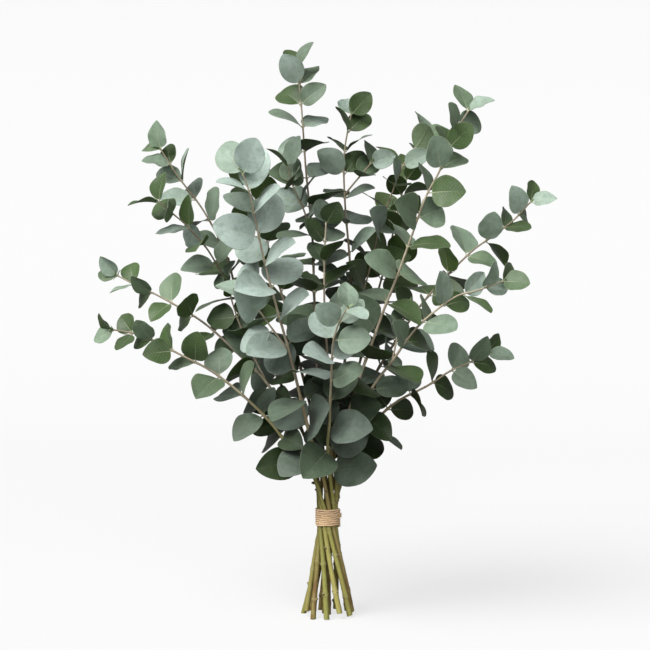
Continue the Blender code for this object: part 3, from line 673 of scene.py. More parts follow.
class Blade:
    def __init__(self, root, along, face, length, width, fold, curl, twist):
        self.root, self.along, self.face = root, along, face
        self.side = along.cross(face)
        self.length, self.width = length, width
        self.fold, self.curl, self.twist = fold, curl, twist

    def halfWidth(self, t, base=leafRule["base"], tip=leafRule["tip"]):
        stalk = leafRule["petioleShare"]
        u = np.clip((t - stalk) / (1 - stalk), 0, 1)
        widest = base / (base + tip)
        share = (u / widest) ** base * ((1 - u) / (1 - widest)) ** tip
        return np.maximum(leafRule["petioleWidth"] / 2 * (1 - t), self.width / 2 * share)

    def surface(self, t, sideways, raised):  # points so far along, to the side of and above the midrib
        bend = self.curl * t
        ahead = self.length * np.sin(bend) / self.curl
        drop = self.length * (1 - np.cos(bend)) / self.curl
        turn = self.twist * t
        across = sideways * np.cos(turn) - raised * np.sin(turn)
        above = sideways * np.sin(turn) + raised * np.cos(turn) - drop
        parts = [np.asarray(v)[None, :] * np.asarray(k).reshape(-1, 1)
                 for v, k in ((self.along, ahead), (self.side, across), (self.face, above))]
        return np.asarray(self.root)[None, :] + parts[0] + parts[1] + parts[2]

    def corners(self):  # the corners of the solid leaf that are away from the stem
        rows, reach = leafRule["cornerRows"], leafRule["cornerReach"]
        t = np.array([*rows, *rows, 1.0])
        out = self.halfWidth(t) * np.array([*[reach] * len(rows), *[-reach] * len(rows), 0.0])
        return self.surface(t, out * math.cos(self.fold), abs(out) * math.sin(self.fold))


def solidTree(node):
    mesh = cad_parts[node].data
    tree = KDTree(len(mesh.vertices))
    for i, vertex in enumerate(mesh.vertices):
        tree.insert(vertex.co / mm, i)
    tree.balance()
    return tree


def bladesOf(stem, axis, lowest, turn, draw, tree):  # the leaves of one axis, as the solids hold them
    tipLength, fullLength, lowLength = stem["leaves"]
    tipSpread, fullSpread = leafRule["tipSpread"], leafRule["fullSpread"]
    found = []
    for i, (place, growth, radius, full, _) in enumerate(leafPairs(axis, lowest)):
        toward = squareTo(viewer, growth)
        low = max(0.0, min(1.0, (i - leafRule["growthPairs"]) / leafRule["lowPairs"]))
        for opposite in (0, 180):
            drawn = {name: draw.uniform(*limits) for name, limits in leafDraws.items()}
            around = turn + 90 * i + opposite + drawn["around"]
            spread = tipSpread + (fullSpread - tipSpread) * full + drawn["spread"]
            length = tipLength + (fullLength - tipLength) * full + (lowLength - fullLength) * low
            length *= drawn["growth"]
            best, bestGap = None, leafRule["matchLimit"]
            for moreAround, moreSpread, size in offsets:
                outward = turned(toward, growth, around + moreAround)
                opening = math.radians(min(spread + moreSpread, leafRule["widestSpread"]))
                along = growth * math.cos(opening) + outward * math.sin(opening)
                inner = growth * math.sin(opening) - outward * math.cos(opening)
                away = Vector((place.x, place.y, 0)).normalized()
                light = away * leafRule["lightOutward"] + up * leafRule["lightUp"]
                light += viewer if place.y < leafRule["backHalf"] else -viewer
                light = squareTo(light, along)
                face = inner.lerp(light, drawn["facing"]).normalized()
                face = turned(squareTo(face, along), along, drawn["roll"])
                root = place + outward * leafRule["rootShare"] * radius
                blade = Blade(root, along, face, length * size, length * size * drawn["slimness"],
                              drawn["fold"], drawn["curl"], drawn["twist"])
                gap = np.median([tree.find(p)[2] for p in blade.corners()])
                if gap < bestGap:
                    best, bestGap = blade, gap
            if best:
                best.gap = bestGap
                found.append(best)
    return found


# leaves
leafLook = {
    "thickness": 0.34, "stalkRadius": 0.62, "stalkRows": 4, "bladeRows": 15, "tipHalf": 0.16,
    "columns": (0.0, 0.035, 0.1, 0.22, 0.38, 0.55, 0.72, 0.86, 0.955, 1.0),
    "foldPower": 1.55, "wave": (0.25, 1.15), "ribHeight": 0.42, "ribHalf": 0.55, "groove": 0.13,
    "bases": (0.46, 0.6), "tips": (0.58, 0.84), "oblique": 0.06, "cup": (-0.5, 0.9),
    "blueSpread": (-0.3, 0.35), "greenOnes": 0.8, "greenFrom": 0.96, "greenShare": 0.12,
    "greenLight": 0.88, "light": (0.84, 1.16), "innerRadius": 88.0, "innerBlue": 0.35,
    "innerPaintedShade": 0.56, "lowFrom": 300.0, "lowTo": 190.0,
    "aged": 0.25, "age": (0.03, 0.3), "seeds": (0, 400),
    "waveTurns": (1.2, 2.6), "waveLag": 0.21, "wavePower": 2.4, "waveEnds": 0.6, "bladeEase": 0.12,
    "thinning": 0.45, "stalkFrom": 0.4, "stalkFade": 0.11, "stalkEdge": 0.05, "ribReach": 1.15,
}


def sheetFaces(rows, columns):  # a closed leaf of two sheets of points: finish 0 on top, 1 below
    size = rows * columns
    faces, finishes = [], []
    for i in range(rows - 1):
        for j in range(columns - 1):
            a, b = i * columns + j, i * columns + j + 1
            c, d = b + columns, a + columns
            faces += [(a, b, c, d), (size + d, size + c, size + b, size + a)]
            finishes += [0, 1]
    rim = list(range(columns))
    rim += [i * columns + columns - 1 for i in range(1, rows)]
    rim += [(rows - 1) * columns + j for j in range(columns - 2, -1, -1)]
    rim += [i * columns for i in range(rows - 2, 0, -1)]
    for a, b in zip(rim, rim[1:] + rim[:1]):
        faces.append((b, a, size + a, size + b))
        finishes.append(0)
    return faces, finishes


def leafShares():
    stalk = leafRule["petioleShare"]
    first = np.linspace(0, stalk, leafLook["stalkRows"], endpoint=False)
    rows = leafLook["bladeRows"]
    u = (1 - np.cos(np.pi * np.arange(rows + 1) / rows)) / 2
    return np.concatenate([first, stalk + (1 - stalk) * u])


def leafTone(blade, draw, blue):  # inner and low leaves have less wax, which also gives them the greener look of shade, and are darkened with painted shade; some are quite green
    place = blade.root + blade.along * blade.length / 2
    inner = max(0.0, 1 - math.hypot(place.x, place.y) / leafLook["innerRadius"])
    low = (leafLook["lowFrom"] - place.z) / (leafLook["lowFrom"] - leafLook["lowTo"])
    shaded = min(1.0, inner + max(0.0, min(1.0, low)))
    tone = (blue + draw.uniform(*leafLook["blueSpread"])) * (1 - leafLook["innerBlue"] * shaded)
    # painted shade: inner and low leaves are made darker, as if shaded by the rest of the bunch
    light = draw.uniform(*leafLook["light"]) * (1 - leafLook["innerPaintedShade"] * shaded)
    if draw.random() < leafLook["greenOnes"] * (leafLook["greenFrom"] - blue):
        tone *= leafLook["greenShare"]
        light *= leafLook["greenLight"]
    return max(0.0, min(1.0, tone)), light, leafLook["age"][draw.random() < leafLook["aged"]]


def addLeaf(gathered, blade, draw, blue):
    shares = leafShares()
    half = np.array(leafLook["columns"])
    sides = np.concatenate([-half[:0:-1], half])
    rows, columns = len(shares), len(sides)
    t = np.repeat(shares, columns)
    s = np.tile(sides, rows)
    base, tip = draw.uniform(*leafLook["bases"]), draw.uniform(*leafLook["tips"])
    lean = 1 + draw.uniform(-1, 1) * leafLook["oblique"] * np.sign(s)
    width = np.maximum(blade.halfWidth(t, base, tip) * lean, leafLook["tipHalf"])
    inBlade = np.clip((t - leafRule["petioleShare"]) / leafLook["bladeEase"], 0, 1)
    height, turns = draw.uniform(*leafLook["wave"]), draw.uniform(*leafLook["waveTurns"])
    turn = turns * t + draw.uniform(0, 1) + leafLook["waveLag"] * np.sign(s)
    fading = np.sin(np.pi * np.clip(t, 0, 1)) ** leafLook["waveEnds"]
    fading *= np.abs(s) ** leafLook["wavePower"]
    cup = draw.uniform(*leafLook["cup"]) * np.sin(np.pi * t) * (1 - s ** 2)
    raised = width * np.abs(s) ** leafLook["foldPower"] * math.sin(blade.fold)
    raised += inBlade * (height * np.sin(2 * np.pi * turn) * fading + cup)
    middle = blade.surface(t, width * s * math.cos(blade.fold), raised)
    grid = middle.reshape(rows, columns, 3)
    normal = np.cross(np.gradient(grid, axis=1), np.gradient(grid, axis=0)).reshape(-1, 3)
    normal /= np.maximum(np.linalg.norm(normal, axis=1, keepdims=True), 1e-9)
    if normal[rows * columns // 2] @ np.asarray(blade.face) < 0:
        normal = -normal
    fromStalk = t - leafLook["stalkFrom"] * leafRule["petioleShare"]
    stalk = 1 - np.clip(fromStalk / leafLook["stalkFade"], 0, 1)
    body = leafLook["thickness"] / 2 * (1 - leafLook["thinning"] * s ** 4)
    roundStalk = leafLook["stalkRadius"] * np.sqrt(1 - s ** 2) + leafLook["stalkEdge"]
    body = body * (1 - stalk) + stalk * roundStalk
    across = width * s
    rib = np.exp(-(across / leafLook["ribHalf"]) ** 2) * (1 - stalk)
    rib *= np.clip(leafLook["ribReach"] - t, 0, 1)
    top = middle + normal * (body - leafLook["groove"] * rib)[:, None]
    bottom = middle - normal * (body + leafLook["ribHeight"] * rib)[:, None]
    faces, finishes = sheetFaces(rows, columns)
    place = np.stack([across, blade.length * t, s], axis=1)
    gathered.add(np.concatenate([top, bottom]), faces, finishes,
                 leafPlace=np.concatenate([place, place]), leafShare=np.concatenate([t, t]),
                 leafTone=leafTone(blade, draw, blue), leafSeed=draw.uniform(*leafLook["seeds"]))


# bark, nodes, stubs and buds
def frames(points):  # a frame that is carried along the line without twisting
    points = rowsOf(points)
    ahead = np.gradient(points, axis=0)
    ahead /= np.linalg.norm(ahead, axis=1, keepdims=True)
    first = np.cross(ahead[0], (0.3, 1, 0.2))
    across = [first / np.linalg.norm(first)]
    for direction in ahead[1:]:
        side = across[-1] - direction * (across[-1] @ direction)
        across.append(side / np.linalg.norm(side))
    across = np.array(across)
    return points, across, np.cross(ahead, across)


def ringFaces(count, sides):
    faces = []
    for i in range(count - 1):
        for j in range(sides):
            a, b = i * sides + j, i * sides + (j + 1) % sides
            faces.append((a, b, b + sides, a + sides))
    return faces


def circlePoints(sides):
    angle = np.arange(sides) * 2 * np.pi / sides
    return np.stack([np.cos(angle), np.sin(angle)], axis=1)


def sweep(points, radii, sides, caps=(True, True)):  # rings round a line, closed at its capped ends
    centre, across, other = frames(points)
    circle = circlePoints(sides)
    ring = across[:, None] * circle[None, :, :1] + other[:, None] * circle[None, :, 1:]
    verts = (centre[:, None] + ring * np.reshape(radii, (-1, 1, 1))).reshape(-1, 3)
    count = len(centre)
    faces = ringFaces(count, sides)
    rings = np.repeat(np.arange(count), sides)
    around = np.tile(circle, (count, 1))
    for row, capped in zip((0, count - 1), caps):
        if not capped:
            continue
        tip = len(verts)
        verts = np.concatenate([verts, [centre[row]]])
        rings = np.append(rings, row)
        around = np.concatenate([around, [[0, 0]]])
        for j in range(sides):
            a, b = row * sides + j, row * sides + (j + 1) % sides
            faces.append((tip, b, a) if row == 0 else (tip, a, b))
    return verts, faces, rings, around


barkLook = {"nodeSwell": 0.21, "nodeHalf": 2.2, "kink": 0.5, "ripple": 0.03, "greenFrom": 255.0,
            "greenTo": 150.0, "paleHalf": 2.2, "brownBelow": 60.0, "brownOver": 22.0,
            "brownFrom": 330.0, "brownFade": 120.0, "wander": 21.0, "behind": 25.0, "paintedShadeBehind": 0.4,
            "paintedShadeFront": 0.05, "brownLeast": 0.3, "place": 2.0}


def barkTones(stem, centres, nodePlaces, dark):
    z = centres[:, 2]
    low = np.clip((barkLook["greenFrom"] - z) / (barkLook["greenFrom"] - barkLook["greenTo"]), 0, 1)
    foot = np.clip((barkLook["brownBelow"] - z) / barkLook["brownOver"], 0, 1)
    fade = np.clip((barkLook["brownFrom"] - z) / barkLook["brownFade"], 0, 1)
    least = barkLook["brownLeast"]
    brown = np.clip(stem["brown"] * (least + (1 - least) * foot), 0, 1) * fade
    nearest = np.linalg.norm(centres[:, None] - nodePlaces[None], axis=2).min(axis=1)
    pale = np.exp(-(nearest / barkLook["paleHalf"]) ** 2)
    # the bark's own greenness, and its painted shade where the stem is at the back
    shade = np.tile([stem["green"], dark, 0.0], (len(z), 1))
    return np.column_stack([low, brown, pale]), nearest, shade


def addBark(gathered, stem, fine, nodes, sides, draw, dark, cut=None):  # swollen at the nodes
    points = [p.copy() for p in fine.points]
    travel = np.array(fine.travel)
    if cut is not None:
        keep = [i for i, p in enumerate(points) if p.z > cut + cutLook["above"]]
        points, travel = [points[i] for i in keep], travel[keep]
    centres = rowsOf(points)
    tone, nearest, shade = barkTones(stem, centres, rowsOf(nodes), dark)
    radii = np.array([fine.diameter(d) / 2 for d in travel])
    radii *= 1 + barkLook["nodeSwell"] * np.exp(-(nearest / barkLook["nodeHalf"]) ** 2)
    radii *= 1 + barkLook["ripple"] * np.array([draw.uniform(-1, 1) for _ in radii])
    for side in (0, 1):
        drift = np.sin(travel / barkLook["wander"] + stem["seed"] + 2 * side)
        centres[:, side] += barkLook["kink"] * drift
    verts, faces, rings, around = sweep(centres, radii, sides, (cut is None, True))
    place = np.column_stack([around * barkLook["place"], travel[rings]])
    gathered.add(verts, faces, 0, barkPlace=place, barkTone=tone[rings], barkShade=shade[rings])
    if cut is not None:
        addCutEnd(gathered, stem, verts[:sides], centres, radii[0], tone[0], shade[0], travel[0], cut)


cutLook = {"above": 4.0, "collar": (0.35, 0.7, 0.93), "face": (0.985, 0.9, 0.6, 0.3), "clear": 1.02}


def addCutEnd(gathered, stem, rim, centres, radius, tone, shade, travel, cut):  # it may slant
    ahead = centres[1] - centres[0]
    ahead /= np.linalg.norm(ahead)
    slant = math.radians(stem["slant"])
    outward = centres[0] * (1, 1, 0)
    outward /= max(np.linalg.norm(outward), 1e-6)
    normal = high * math.cos(slant) - outward * math.sin(slant)
    foot = centres[0] - ahead * (centres[0][2] - cut) / ahead[2]
    foot = foot + high * math.tan(slant) * radius * cutLook["clear"]
    sides = len(rim)
    level = np.array([p - ahead * (((p - foot) @ normal) / (ahead @ normal)) for p in rim])
    centre = level.mean(axis=0)
    rows = [rim, *[rim + (level - rim) * share for share in cutLook["collar"]],
            *[centre + (level - centre) * share for share in cutLook["face"]]]
    collar = len(cutLook["collar"]) + 1
    verts = np.concatenate([*rows, [centre]])
    out = np.repeat([1.0] * collar + list(cutLook["face"]), sides) * radius
    lower = np.repeat(np.minimum(np.arange(len(rows)), collar), sides)
    place = np.column_stack([np.tile(circlePoints(sides), (len(rows), 1)) * out[:, None], travel - lower])
    place = np.concatenate([place, [[0, 0, travel - collar]]])
    faces = [face[::-1] for face in ringFaces(len(rows), sides)]
    last = (len(rows) - 1) * sides
    faces += [(last + j, len(verts) - 1, last + (j + 1) % sides) for j in range(sides)]
    finishes = [0] * sides * collar + [1] * sides * (len(rows) - collar)
    gathered.add(verts, faces, finishes, barkPlace=place, barkTone=(tone[0], tone[1], 0.0),
                 barkShade=shade)


# out from the stem's middle and along the stub, each as a share, and how thick it is there
stubLook = {"length": (1.2, 2.7), "radius": 1.15, "share": 0.65, "sides": 7, "dark": (0.1, 0.5),
            "profile": ((0.4, 0.0, 1.5), (0.95, 0.0, 1.25), (1.0, 0.6, 1.0), (1.0, 1.0, 0.8)),
            "lift": (0.2, 0.9), "vary": (0.8, 1.15), "tone": (0.6, 0.4, 0.5), "around": (-15, 15)}


def addStub(gathered, stem, place, growth, outward, radius, draw):  # what is left of a leaf stalk
    length = draw.uniform(*stubLook["length"])
    lift = (outward + growth * draw.uniform(*stubLook["lift"])).normalized()
    size = stubLook["radius"] * draw.uniform(*stubLook["vary"])
    profile = stubLook["profile"]
    ends = [place + outward * radius * out + lift * length * along for out, along, _ in profile]
    verts, faces, rings, around = sweep(ends, [size * thick for *_, thick in profile], stubLook["sides"])
    gathered.add(verts, faces, 0, barkPlace=np.column_stack([around, rings]), barkTone=stubLook["tone"],
                 barkShade=(stem["green"], draw.uniform(*stubLook["dark"]), 0))


twigletLook = {"share": 0.14, "length": (6, 13), "radii": (0.5, 0.28), "step": 2.0, "sides": 6,
               "lean": 0.8, "bow": (0.4, 1.2), "tone": (0.25, 0.1, 0.5), "shade": (0.5, 0.05, 0)}


def addTwiglet(gathered, place, growth, outward, draw):  # a thin bare shoot at a node
    length = draw.uniform(*twigletLook["length"])
    lift = (outward * twigletLook["lean"] + growth).normalized()
    middle, end = twigletLook["bow"]
    ends = [place, place + lift * length * 0.5 + growth * middle, place + lift * length + growth * end]
    line = curveThrough(ends, twigletLook["step"])
    radii = np.linspace(*twigletLook["radii"], len(line))
    verts, faces, rings, around = sweep(line, radii, twigletLook["sides"])
    gathered.add(verts, faces, 0, barkPlace=np.column_stack([around, rings * twigletLook["step"]]),
                 barkTone=twigletLook["tone"], barkShade=twigletLook["shade"])


budLook = {"length": (5.5, 9.5), "width": 0.4, "open": (8, 24), "wider": 17, "rise": 1.6, "rows": 8,
           "columns": 7, "thickness": 0.28, "fold": 0.55, "curl": (0.3, 1.1), "least": 0.14,
           "vary": (0.8, 1.0), "longer": 0.25, "seat": 0.3, "twist": (-0.4, 0.4), "tone": (0.4, 1.0, 0.0)}


def addBuds(gathered, axis, turn, pairs, draw):  # folded pairs of new leaves in the tip of a stem
    place, growth = axis.at(axis.length)
    toward = squareTo(viewer, growth)
    rows, columns = budLook["rows"], budLook["columns"]
    t = np.repeat(np.linspace(0, 1, rows), columns)
    s = np.tile(np.linspace(-1, 1, columns), rows)
    faces, _ = sheetFaces(rows, columns)
    length = draw.uniform(*budLook["length"])
    for pair in range(pairs):
        for opposite in (90, 270):
            outward = turned(toward, growth, turn + opposite + 90 * pair)
            angle = math.radians(draw.uniform(*budLook["open"]) + budLook["wider"] * (pairs - 1 - pair))
            along = growth * math.cos(angle) + outward * math.sin(angle)
            face = growth * math.sin(angle) - outward * math.cos(angle)
            size = length * draw.uniform(*budLook["vary"]) * (1 + budLook["longer"] * (pairs - 1 - pair))
            root = place + outward * budLook["seat"] + growth * budLook["rise"] * (pair - pairs / 2)
            leaf = Blade(root, along, face, size, size * budLook["width"], budLook["fold"],
                         draw.uniform(*budLook["curl"]), draw.uniform(*budLook["twist"]))
            out = np.maximum(leaf.halfWidth(t), budLook["least"])
            raised = out * abs(s) * math.sin(leaf.fold)
            middle = leaf.surface(t, out * s * math.cos(leaf.fold), raised)
            half = np.asarray(face) * budLook["thickness"] / 2
            spot = np.stack([out * s, size * t, s], axis=1)
            gathered.add(np.concatenate([middle + half, middle - half]), faces, 2,
                         leafPlace=np.concatenate([spot, spot]), leafShare=np.concatenate([t, t]),
                         leafTone=budLook["tone"], leafSeed=draw.uniform(*leafLook["seeds"]))


def bareNodes(axis, first, lowest, pairs, turn):  # below the leaves, where leaves were stripped
    found = []
    distance = first
    while distance > lowest:
        distance -= wood["bareSpacing"] + wood["bareVary"] * math.sin(wood["bareDrift"] * len(found) + turn)
        place, growth = axis.at(max(distance, lowest))
        found.append((place, growth, axis.diameter(distance) / 2, pairs + len(found)))
    return found[:-1]


def stripped(bark, stem, axis, pairs, turn, draw):  # bare nodes with stubs, clear of the tie
    places = []
    tieReach = tie["length"] / 2 + wood["tieClear"]
    lowest = stem["cut"] + wood["bareFrom"]
    for place, growth, radius, i in bareNodes(axis, pairs[-1][4], lowest, len(pairs), turn):
        if abs(place.z - tie["height"]) < tieReach:
            continue
        places.append(place)
        toward = squareTo(viewer, growth)
        for opposite in (0, 180):
            outward = turned(toward, growth, turn + 90 * i + opposite + draw.uniform(*stubLook["around"]))
            if draw.random() < stubLook["share"]:
                addStub(bark, stem, place, growth, outward, radius, draw)
    return places


def dressStem(name, stem):
    tree = solidTree(name)
    draw = random.Random(stem["seed"])
    look = random.Random(1000 + stem["seat"] + stem["seed"])
    leaves = Gathered({"leafPlace": 3, "leafShare": 1, "leafTone": 3, "leafSeed": 1})
    bark = Gathered({"barkPlace": 3, "barkTone": 3, "barkShade": 3})
    # painted shade: the bark of stems that end behind the bunch is darkened
    dark = barkLook["paintedShadeBehind"] if stem["route"][-1][1] > barkLook["behind"] else barkLook["paintedShadeFront"]
    axes = [(*stemAxes(stem), stem["bareTo"], stem["turn"], stem["cut"], wood["sides"])]
    for route in stem.get("twigs", []):
        coarse, fine = twigAxes(route)
        lowest = coarse.points[0].z + leafRule["twigBare"]
        axes.append((coarse, fine, lowest, stem["turn"] + leafRule["twigTurn"], None, wood["twigSides"]))
    blades = []
    for coarse, fine, lowest, turn, cut, sides in axes:
        blades += bladesOf(stem, coarse, lowest, turn, draw, tree)
        pairs = leafPairs(coarse, lowest)
        nodes = [pair[0] for pair in pairs]
        if cut is not None:
            nodes += stripped(bark, stem, coarse, pairs, turn, look)
        for place, growth, *_ in pairs[1:]:
            if look.random() < twigletLook["share"]:
                toward = squareTo(viewer, growth)
                addTwiglet(bark, place, growth, turned(toward, growth, look.uniform(0, 360)), look)
        addBark(bark, stem, fine, nodes, sides, look, dark, cut)
        addBuds(leaves, coarse, turn, stem.get("buds", 1), look)
    for blade in blades:
        addLeaf(leaves, blade, look, stem["blue"])
    leafPiece = leaves.build(name.replace("stem", "leaves"), [leafUpper, leafUnder, youngLeaf])
    barkPiece = bark.build(name.replace("stem", "wood"), [stemBark, cutWood])
    for piece, slot in ((leafPiece, "leaf"), (barkPiece, "stem")):
        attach(piece, "root")
        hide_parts(name)
    print(f"{name}: {len(blades)} leaves, widest match {max(b.gap for b in blades):.2f} mm")
    return len(blades)


print("stems and leaves")
total = sum(dressStem(name, stem) for name, stem in stems.items())
print("leaves in all:", total)


# the jute twine round the waist, and its knot
twine = {"turns": 8, "radius": 1.2, "centre": 11.95, "plyRadius": 0.66, "plyOffset": 0.56, "layLength": 5.2,
         "step": 0.42, "sides": 8, "waver": (0.24, 0.12), "sway": 0.14, "lump": 0.06, "lumpTurn": 1.7,
         "ripple": 0.03, "crown": (0.45, 0.5), "groove": (0.45, 0.4), "place": 0.8, "apart": 90}
knotLook = {"angle": -24.0, "out": 1.75, "rise": 3.1, "steps": 73, "width": (1.25, 0.75),
            "height": (1.15, -0.75), "depth": -0.75, "ply": 0.5, "tailPly": 0.42,
            "tails": ((1, 2.4), (-1, 4.6)), "frayed": 16, "spread": 0.3,
            "tailPath": ((0.0, 0.0, 0.1), (1.8, 0.3, 0.2), (2.9, 1.0, 0.15))}  # side, drop, out
fibreLook = {"count": 240, "radius": (0.035, 0.07), "length": (1.0, 3.6), "short": (0.8, 2.2),
             "lift": (0.15, 0.7), "tilt": (-0.75, 0.75), "sides": 3, "shares": (0.002, 0.998),
             "nearby": 0.0005, "seat": 0.75, "height": (-0.7, 0.7), "bend": (0.1, 0.35), "thinEnd": 0.4,
             "place": 3.0, "apart": (0, 90)}


def twineLine(share):  # the middle of the twine, a share of the way along its turns, top to bottom
    angle = math.radians(knotLook["angle"]) - 2 * np.pi * twine["turns"] * share
    top = tie["height"] + tie["length"] / 2 - twine["radius"]
    slow, quick = twine["waver"]
    height = top - (tie["length"] - 2 * twine["radius"]) * share
    height = height + slow * np.sin(2.0 * angle + 5 * share) + quick * np.sin(5.3 * angle)
    radius = twine["centre"] + twine["sway"] * np.sin(3.1 * angle + 1)
    return np.stack([radius * np.cos(angle), radius * np.sin(angle), height], axis=-1)


def addPlies(gathered, line, draw, startLay=0.0, plyRadius=twine["plyRadius"]):  # three laid strands
    centre, across, other = frames(line)
    travel = np.concatenate([[0], np.cumsum(np.linalg.norm(np.diff(centre, axis=0), axis=1))])
    offset = twine["plyOffset"] * plyRadius / twine["plyRadius"]
    for ply in range(3):
        lay = startLay + 2 * np.pi * (travel / twine["layLength"] + ply / 3)
        strand = centre + offset * (across * np.cos(lay)[:, None] + other * np.sin(lay)[:, None])
        ripple = np.array([draw.uniform(-1, 1) for _ in travel])
        lump = twine["lump"] * np.sin(travel * twine["lumpTurn"] + ply * 2)
        size = plyRadius * (1 + lump + twine["ripple"] * ripple)
        verts, faces, rings, around = sweep(strand, size, twine["sides"])
        place = np.column_stack([around * twine["place"], travel[rings] + twine["apart"] * ply])
        # twineDepth sets the painted shade: darker between the three strands and between the turns
        away = (verts - centre[rings]) / twine["radius"]
        start, over = twine["crown"]
        crown = np.clip((np.linalg.norm(away, axis=1) - start) / over, 0, 1)
        start, over = twine["groove"]
        groove = np.clip((np.abs(away[:, 2]) - start) / over, 0, 1)  # between one turn and the next, where shade is painted
        gathered.add(verts, faces, 0, twinePlace=place, twineDepth=crown * (1 - groove))


def addFibre(gathered, start, direction, length, draw):
    direction = direction / np.linalg.norm(direction)
    bend = np.array([draw.uniform(-1, 1) for _ in range(3)])
    middle, end = fibreLook["bend"]
    ends = [start, start + (direction * 0.5 + bend * middle) * length,
            start + (direction + bend * end) * length]
    line = curveThrough([Vector(p) for p in ends], length / 4)
    size = draw.uniform(*fibreLook["radius"])
    taper = np.linspace(size, size * fibreLook["thinEnd"], len(line))
    verts, faces, rings, around = sweep(line, taper, fibreLook["sides"])
    along = rings * fibreLook["place"] + draw.uniform(*fibreLook["apart"])
    gathered.add(verts, faces, 1, twinePlace=np.column_stack([around, along]), twineDepth=1.0)


def addKnot(gathered, draw):  # an overhand knot drawn tight, then its two short frayed ends
    angle = math.radians(knotLook["angle"])
    out = np.array([math.cos(angle), math.sin(angle), 0])
    side = np.array([-math.sin(angle), math.cos(angle), 0])
    knot = out * (twine["centre"] + knotLook["out"]) + high * (tie["height"] + knotLook["rise"])
    wide, tall, deep = knotLook["width"], knotLook["height"], knotLook["depth"]
    loop = [knot + side * (wide[0] * math.sin(a) + wide[1] * math.sin(2 * a))
            + high * (tall[0] * math.cos(a) + tall[1] * math.cos(2 * a)) + out * deep * math.sin(3 * a)
            for a in np.linspace(0, 2 * np.pi, knotLook["steps"], endpoint=False)]
    addPlies(gathered, np.array(loop), draw, 0.4, knotLook["ply"])
    for sign, drop in knotLook["tails"]:
        tail = [knot + side * sign * wide - high * drop * down + out * off
                for wide, down, off in knotLook["tailPath"]]
        smoothTail = curveThrough([Vector(p) for p in tail], twine["step"])
        addPlies(gathered, smoothTail, draw, 0.8, knotLook["tailPly"])
        ahead = (tail[2] - tail[1]) / np.linalg.norm(tail[2] - tail[1])
        for _ in range(knotLook["frayed"]):
            spread = knotLook["spread"] * np.array([draw.uniform(-1, 1) for _ in range(3)])
            addFibre(gathered, tail[2], ahead + spread, draw.uniform(*fibreLook["short"]), draw)


def makeTwine():
    draw = random.Random(11)
    gathered = Gathered({"twinePlace": 3, "twineDepth": 1})
    length = twine["turns"] * 2 * np.pi * twine["centre"]
    addPlies(gathered, twineLine(np.linspace(0, 1, int(length / twine["step"]))), draw)
    addKnot(gathered, draw)
    for _ in range(fibreLook["count"]):
        share = draw.uniform(*fibreLook["shares"])
        point, ahead = twineLine(np.array([share, share + fibreLook["nearby"]]))
        ahead = (ahead - point) / np.linalg.norm(ahead - point)
        outward = np.array([point[0], point[1], 0]) / math.hypot(point[0], point[1])
        direction = ahead * draw.choice((-1, 1)) + outward * draw.uniform(*fibreLook["lift"])
        direction += high * draw.uniform(*fibreLook["tilt"])
        start = point + outward * twine["radius"] * fibreLook["seat"]
        start = start + high * draw.uniform(*fibreLook["height"])
        addFibre(gathered, start, direction, draw.uniform(*fibreLook["length"]), draw)
    piece = gathered.build("twine_wrap", [juteTwine, juteFibre])
    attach(piece, "root")
    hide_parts("twine_band")


print("twine")
makeTwine()


# floor, light and camera
studio = {"halfWidth": 7.0, "front": -5.0, "bendFrom": 1.3, "bend": 3.2, "height": 8.0, "steps": 24,
          "albedo": 0.158, "glow": 0.708, "world": 0.14}
lights = {"keyFrom": (-0.50, -0.42, 0.76), "keyStrength": 5.2, "keyAngle": 44.0,
          "fillFrom": (0.5, -2.8, 1.4), "fillSize": 2.0, "fillPower": 49.0, "aim": (0.0, 0.0, 0.33)}
view = {"place": (-0.003, -1.5, 0.37), "aim": (-0.003, 0, 0.304), "pixelFocal": 1442, "pixels": 650}


def makeFloorMaterial():  # mostly its own even white for the camera, so that shadows stay faint
    made, tree, shader = material("paleFloor")
    seen = put(tree, "LightPath").outputs["Is Camera Ray"]
    glow = times(tree, seen, studio["glow"])
    tree.links.new(joinXyz(tree, glow, glow, glow), shader.inputs["Emission Color"])
    setEvenly(shader, {"Emission Strength": 1.0, "Base Color": (studio["albedo"],) * 3 + (1,),
                       "Roughness": 0.9, "Specular IOR Level": 0.1})
    return made


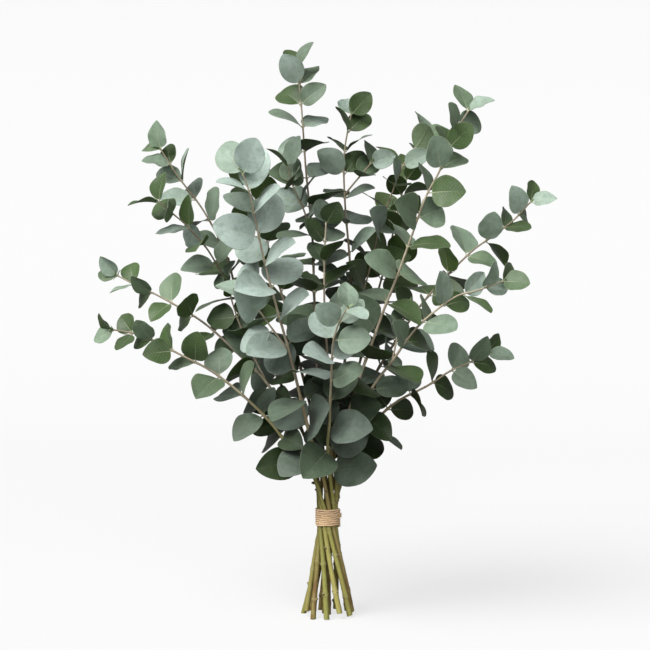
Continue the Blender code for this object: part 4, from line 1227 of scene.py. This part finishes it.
def makeStudio():  # a floor that bends up into a backdrop
    bend = studio["bend"]
    profile = [(studio["front"], 0.0), (studio["bendFrom"], 0.0)]
    for i in range(1, studio["steps"] + 1):
        angle = math.pi / 2 * i / studio["steps"]
        profile.append((studio["bendFrom"] + bend * math.sin(angle), bend * (1 - math.cos(angle))))
    profile.append((studio["bendFrom"] + bend, studio["height"]))
    points = [(x, y, z) for y, z in profile for x in (-studio["halfWidth"], studio["halfWidth"])]
    faces = [(2 * i, 2 * i + 1, 2 * i + 3, 2 * i + 2) for i in range(len(profile) - 1)]
    mesh = bpy.data.meshes.new("studioFloor")
    mesh.from_pydata(points, [], faces)
    mesh.shade_smooth()
    mesh.materials.append(makeFloorMaterial())
    floor = bpy.data.objects.new("studioFloor", mesh)
    bpy.context.scene.collection.objects.link(floor)
    world = bpy.data.worlds.new("studioWorld")
    world.use_nodes = True
    setEvenly(world.node_tree.nodes["Background"], {"Color": (1, 1, 1, 1), "Strength": studio["world"]})
    bpy.context.scene.world = world


def placed(name, data, place, aim):  # a lamp or camera at a place that looks at another
    made = bpy.data.objects.new(name, data)
    made.location = place
    made.rotation_mode = "QUATERNION"
    made.rotation_quaternion = (Vector(aim) - Vector(place)).to_track_quat("-Z", "Y")
    bpy.context.scene.collection.objects.link(made)
    return made


def makeLights():
    key = bpy.data.lights.new("keyLight", "SUN")
    key.energy = lights["keyStrength"]
    key.angle = math.radians(lights["keyAngle"])
    placed("keyLight", key, Vector(lights["keyFrom"]) * 3, (0, 0, 0))
    fill = bpy.data.lights.new("fillLight", "AREA")
    fill.shape = "SQUARE"
    fill.size = lights["fillSize"]
    fill.energy = lights["fillPower"]
    placed("fillLight", fill, lights["fillFrom"], lights["aim"])


def makeCamera():
    data = bpy.data.cameras.new("photoCamera")
    data.sensor_width = 36
    data.lens = 36 * view["pixelFocal"] / view["pixels"]
    bpy.context.scene.camera = placed("photoCamera", data, view["place"], view["aim"])


print("studio, lights and camera")
makeStudio()
makeLights()
makeCamera()
bpy.context.scene.view_settings.view_transform = "Standard"
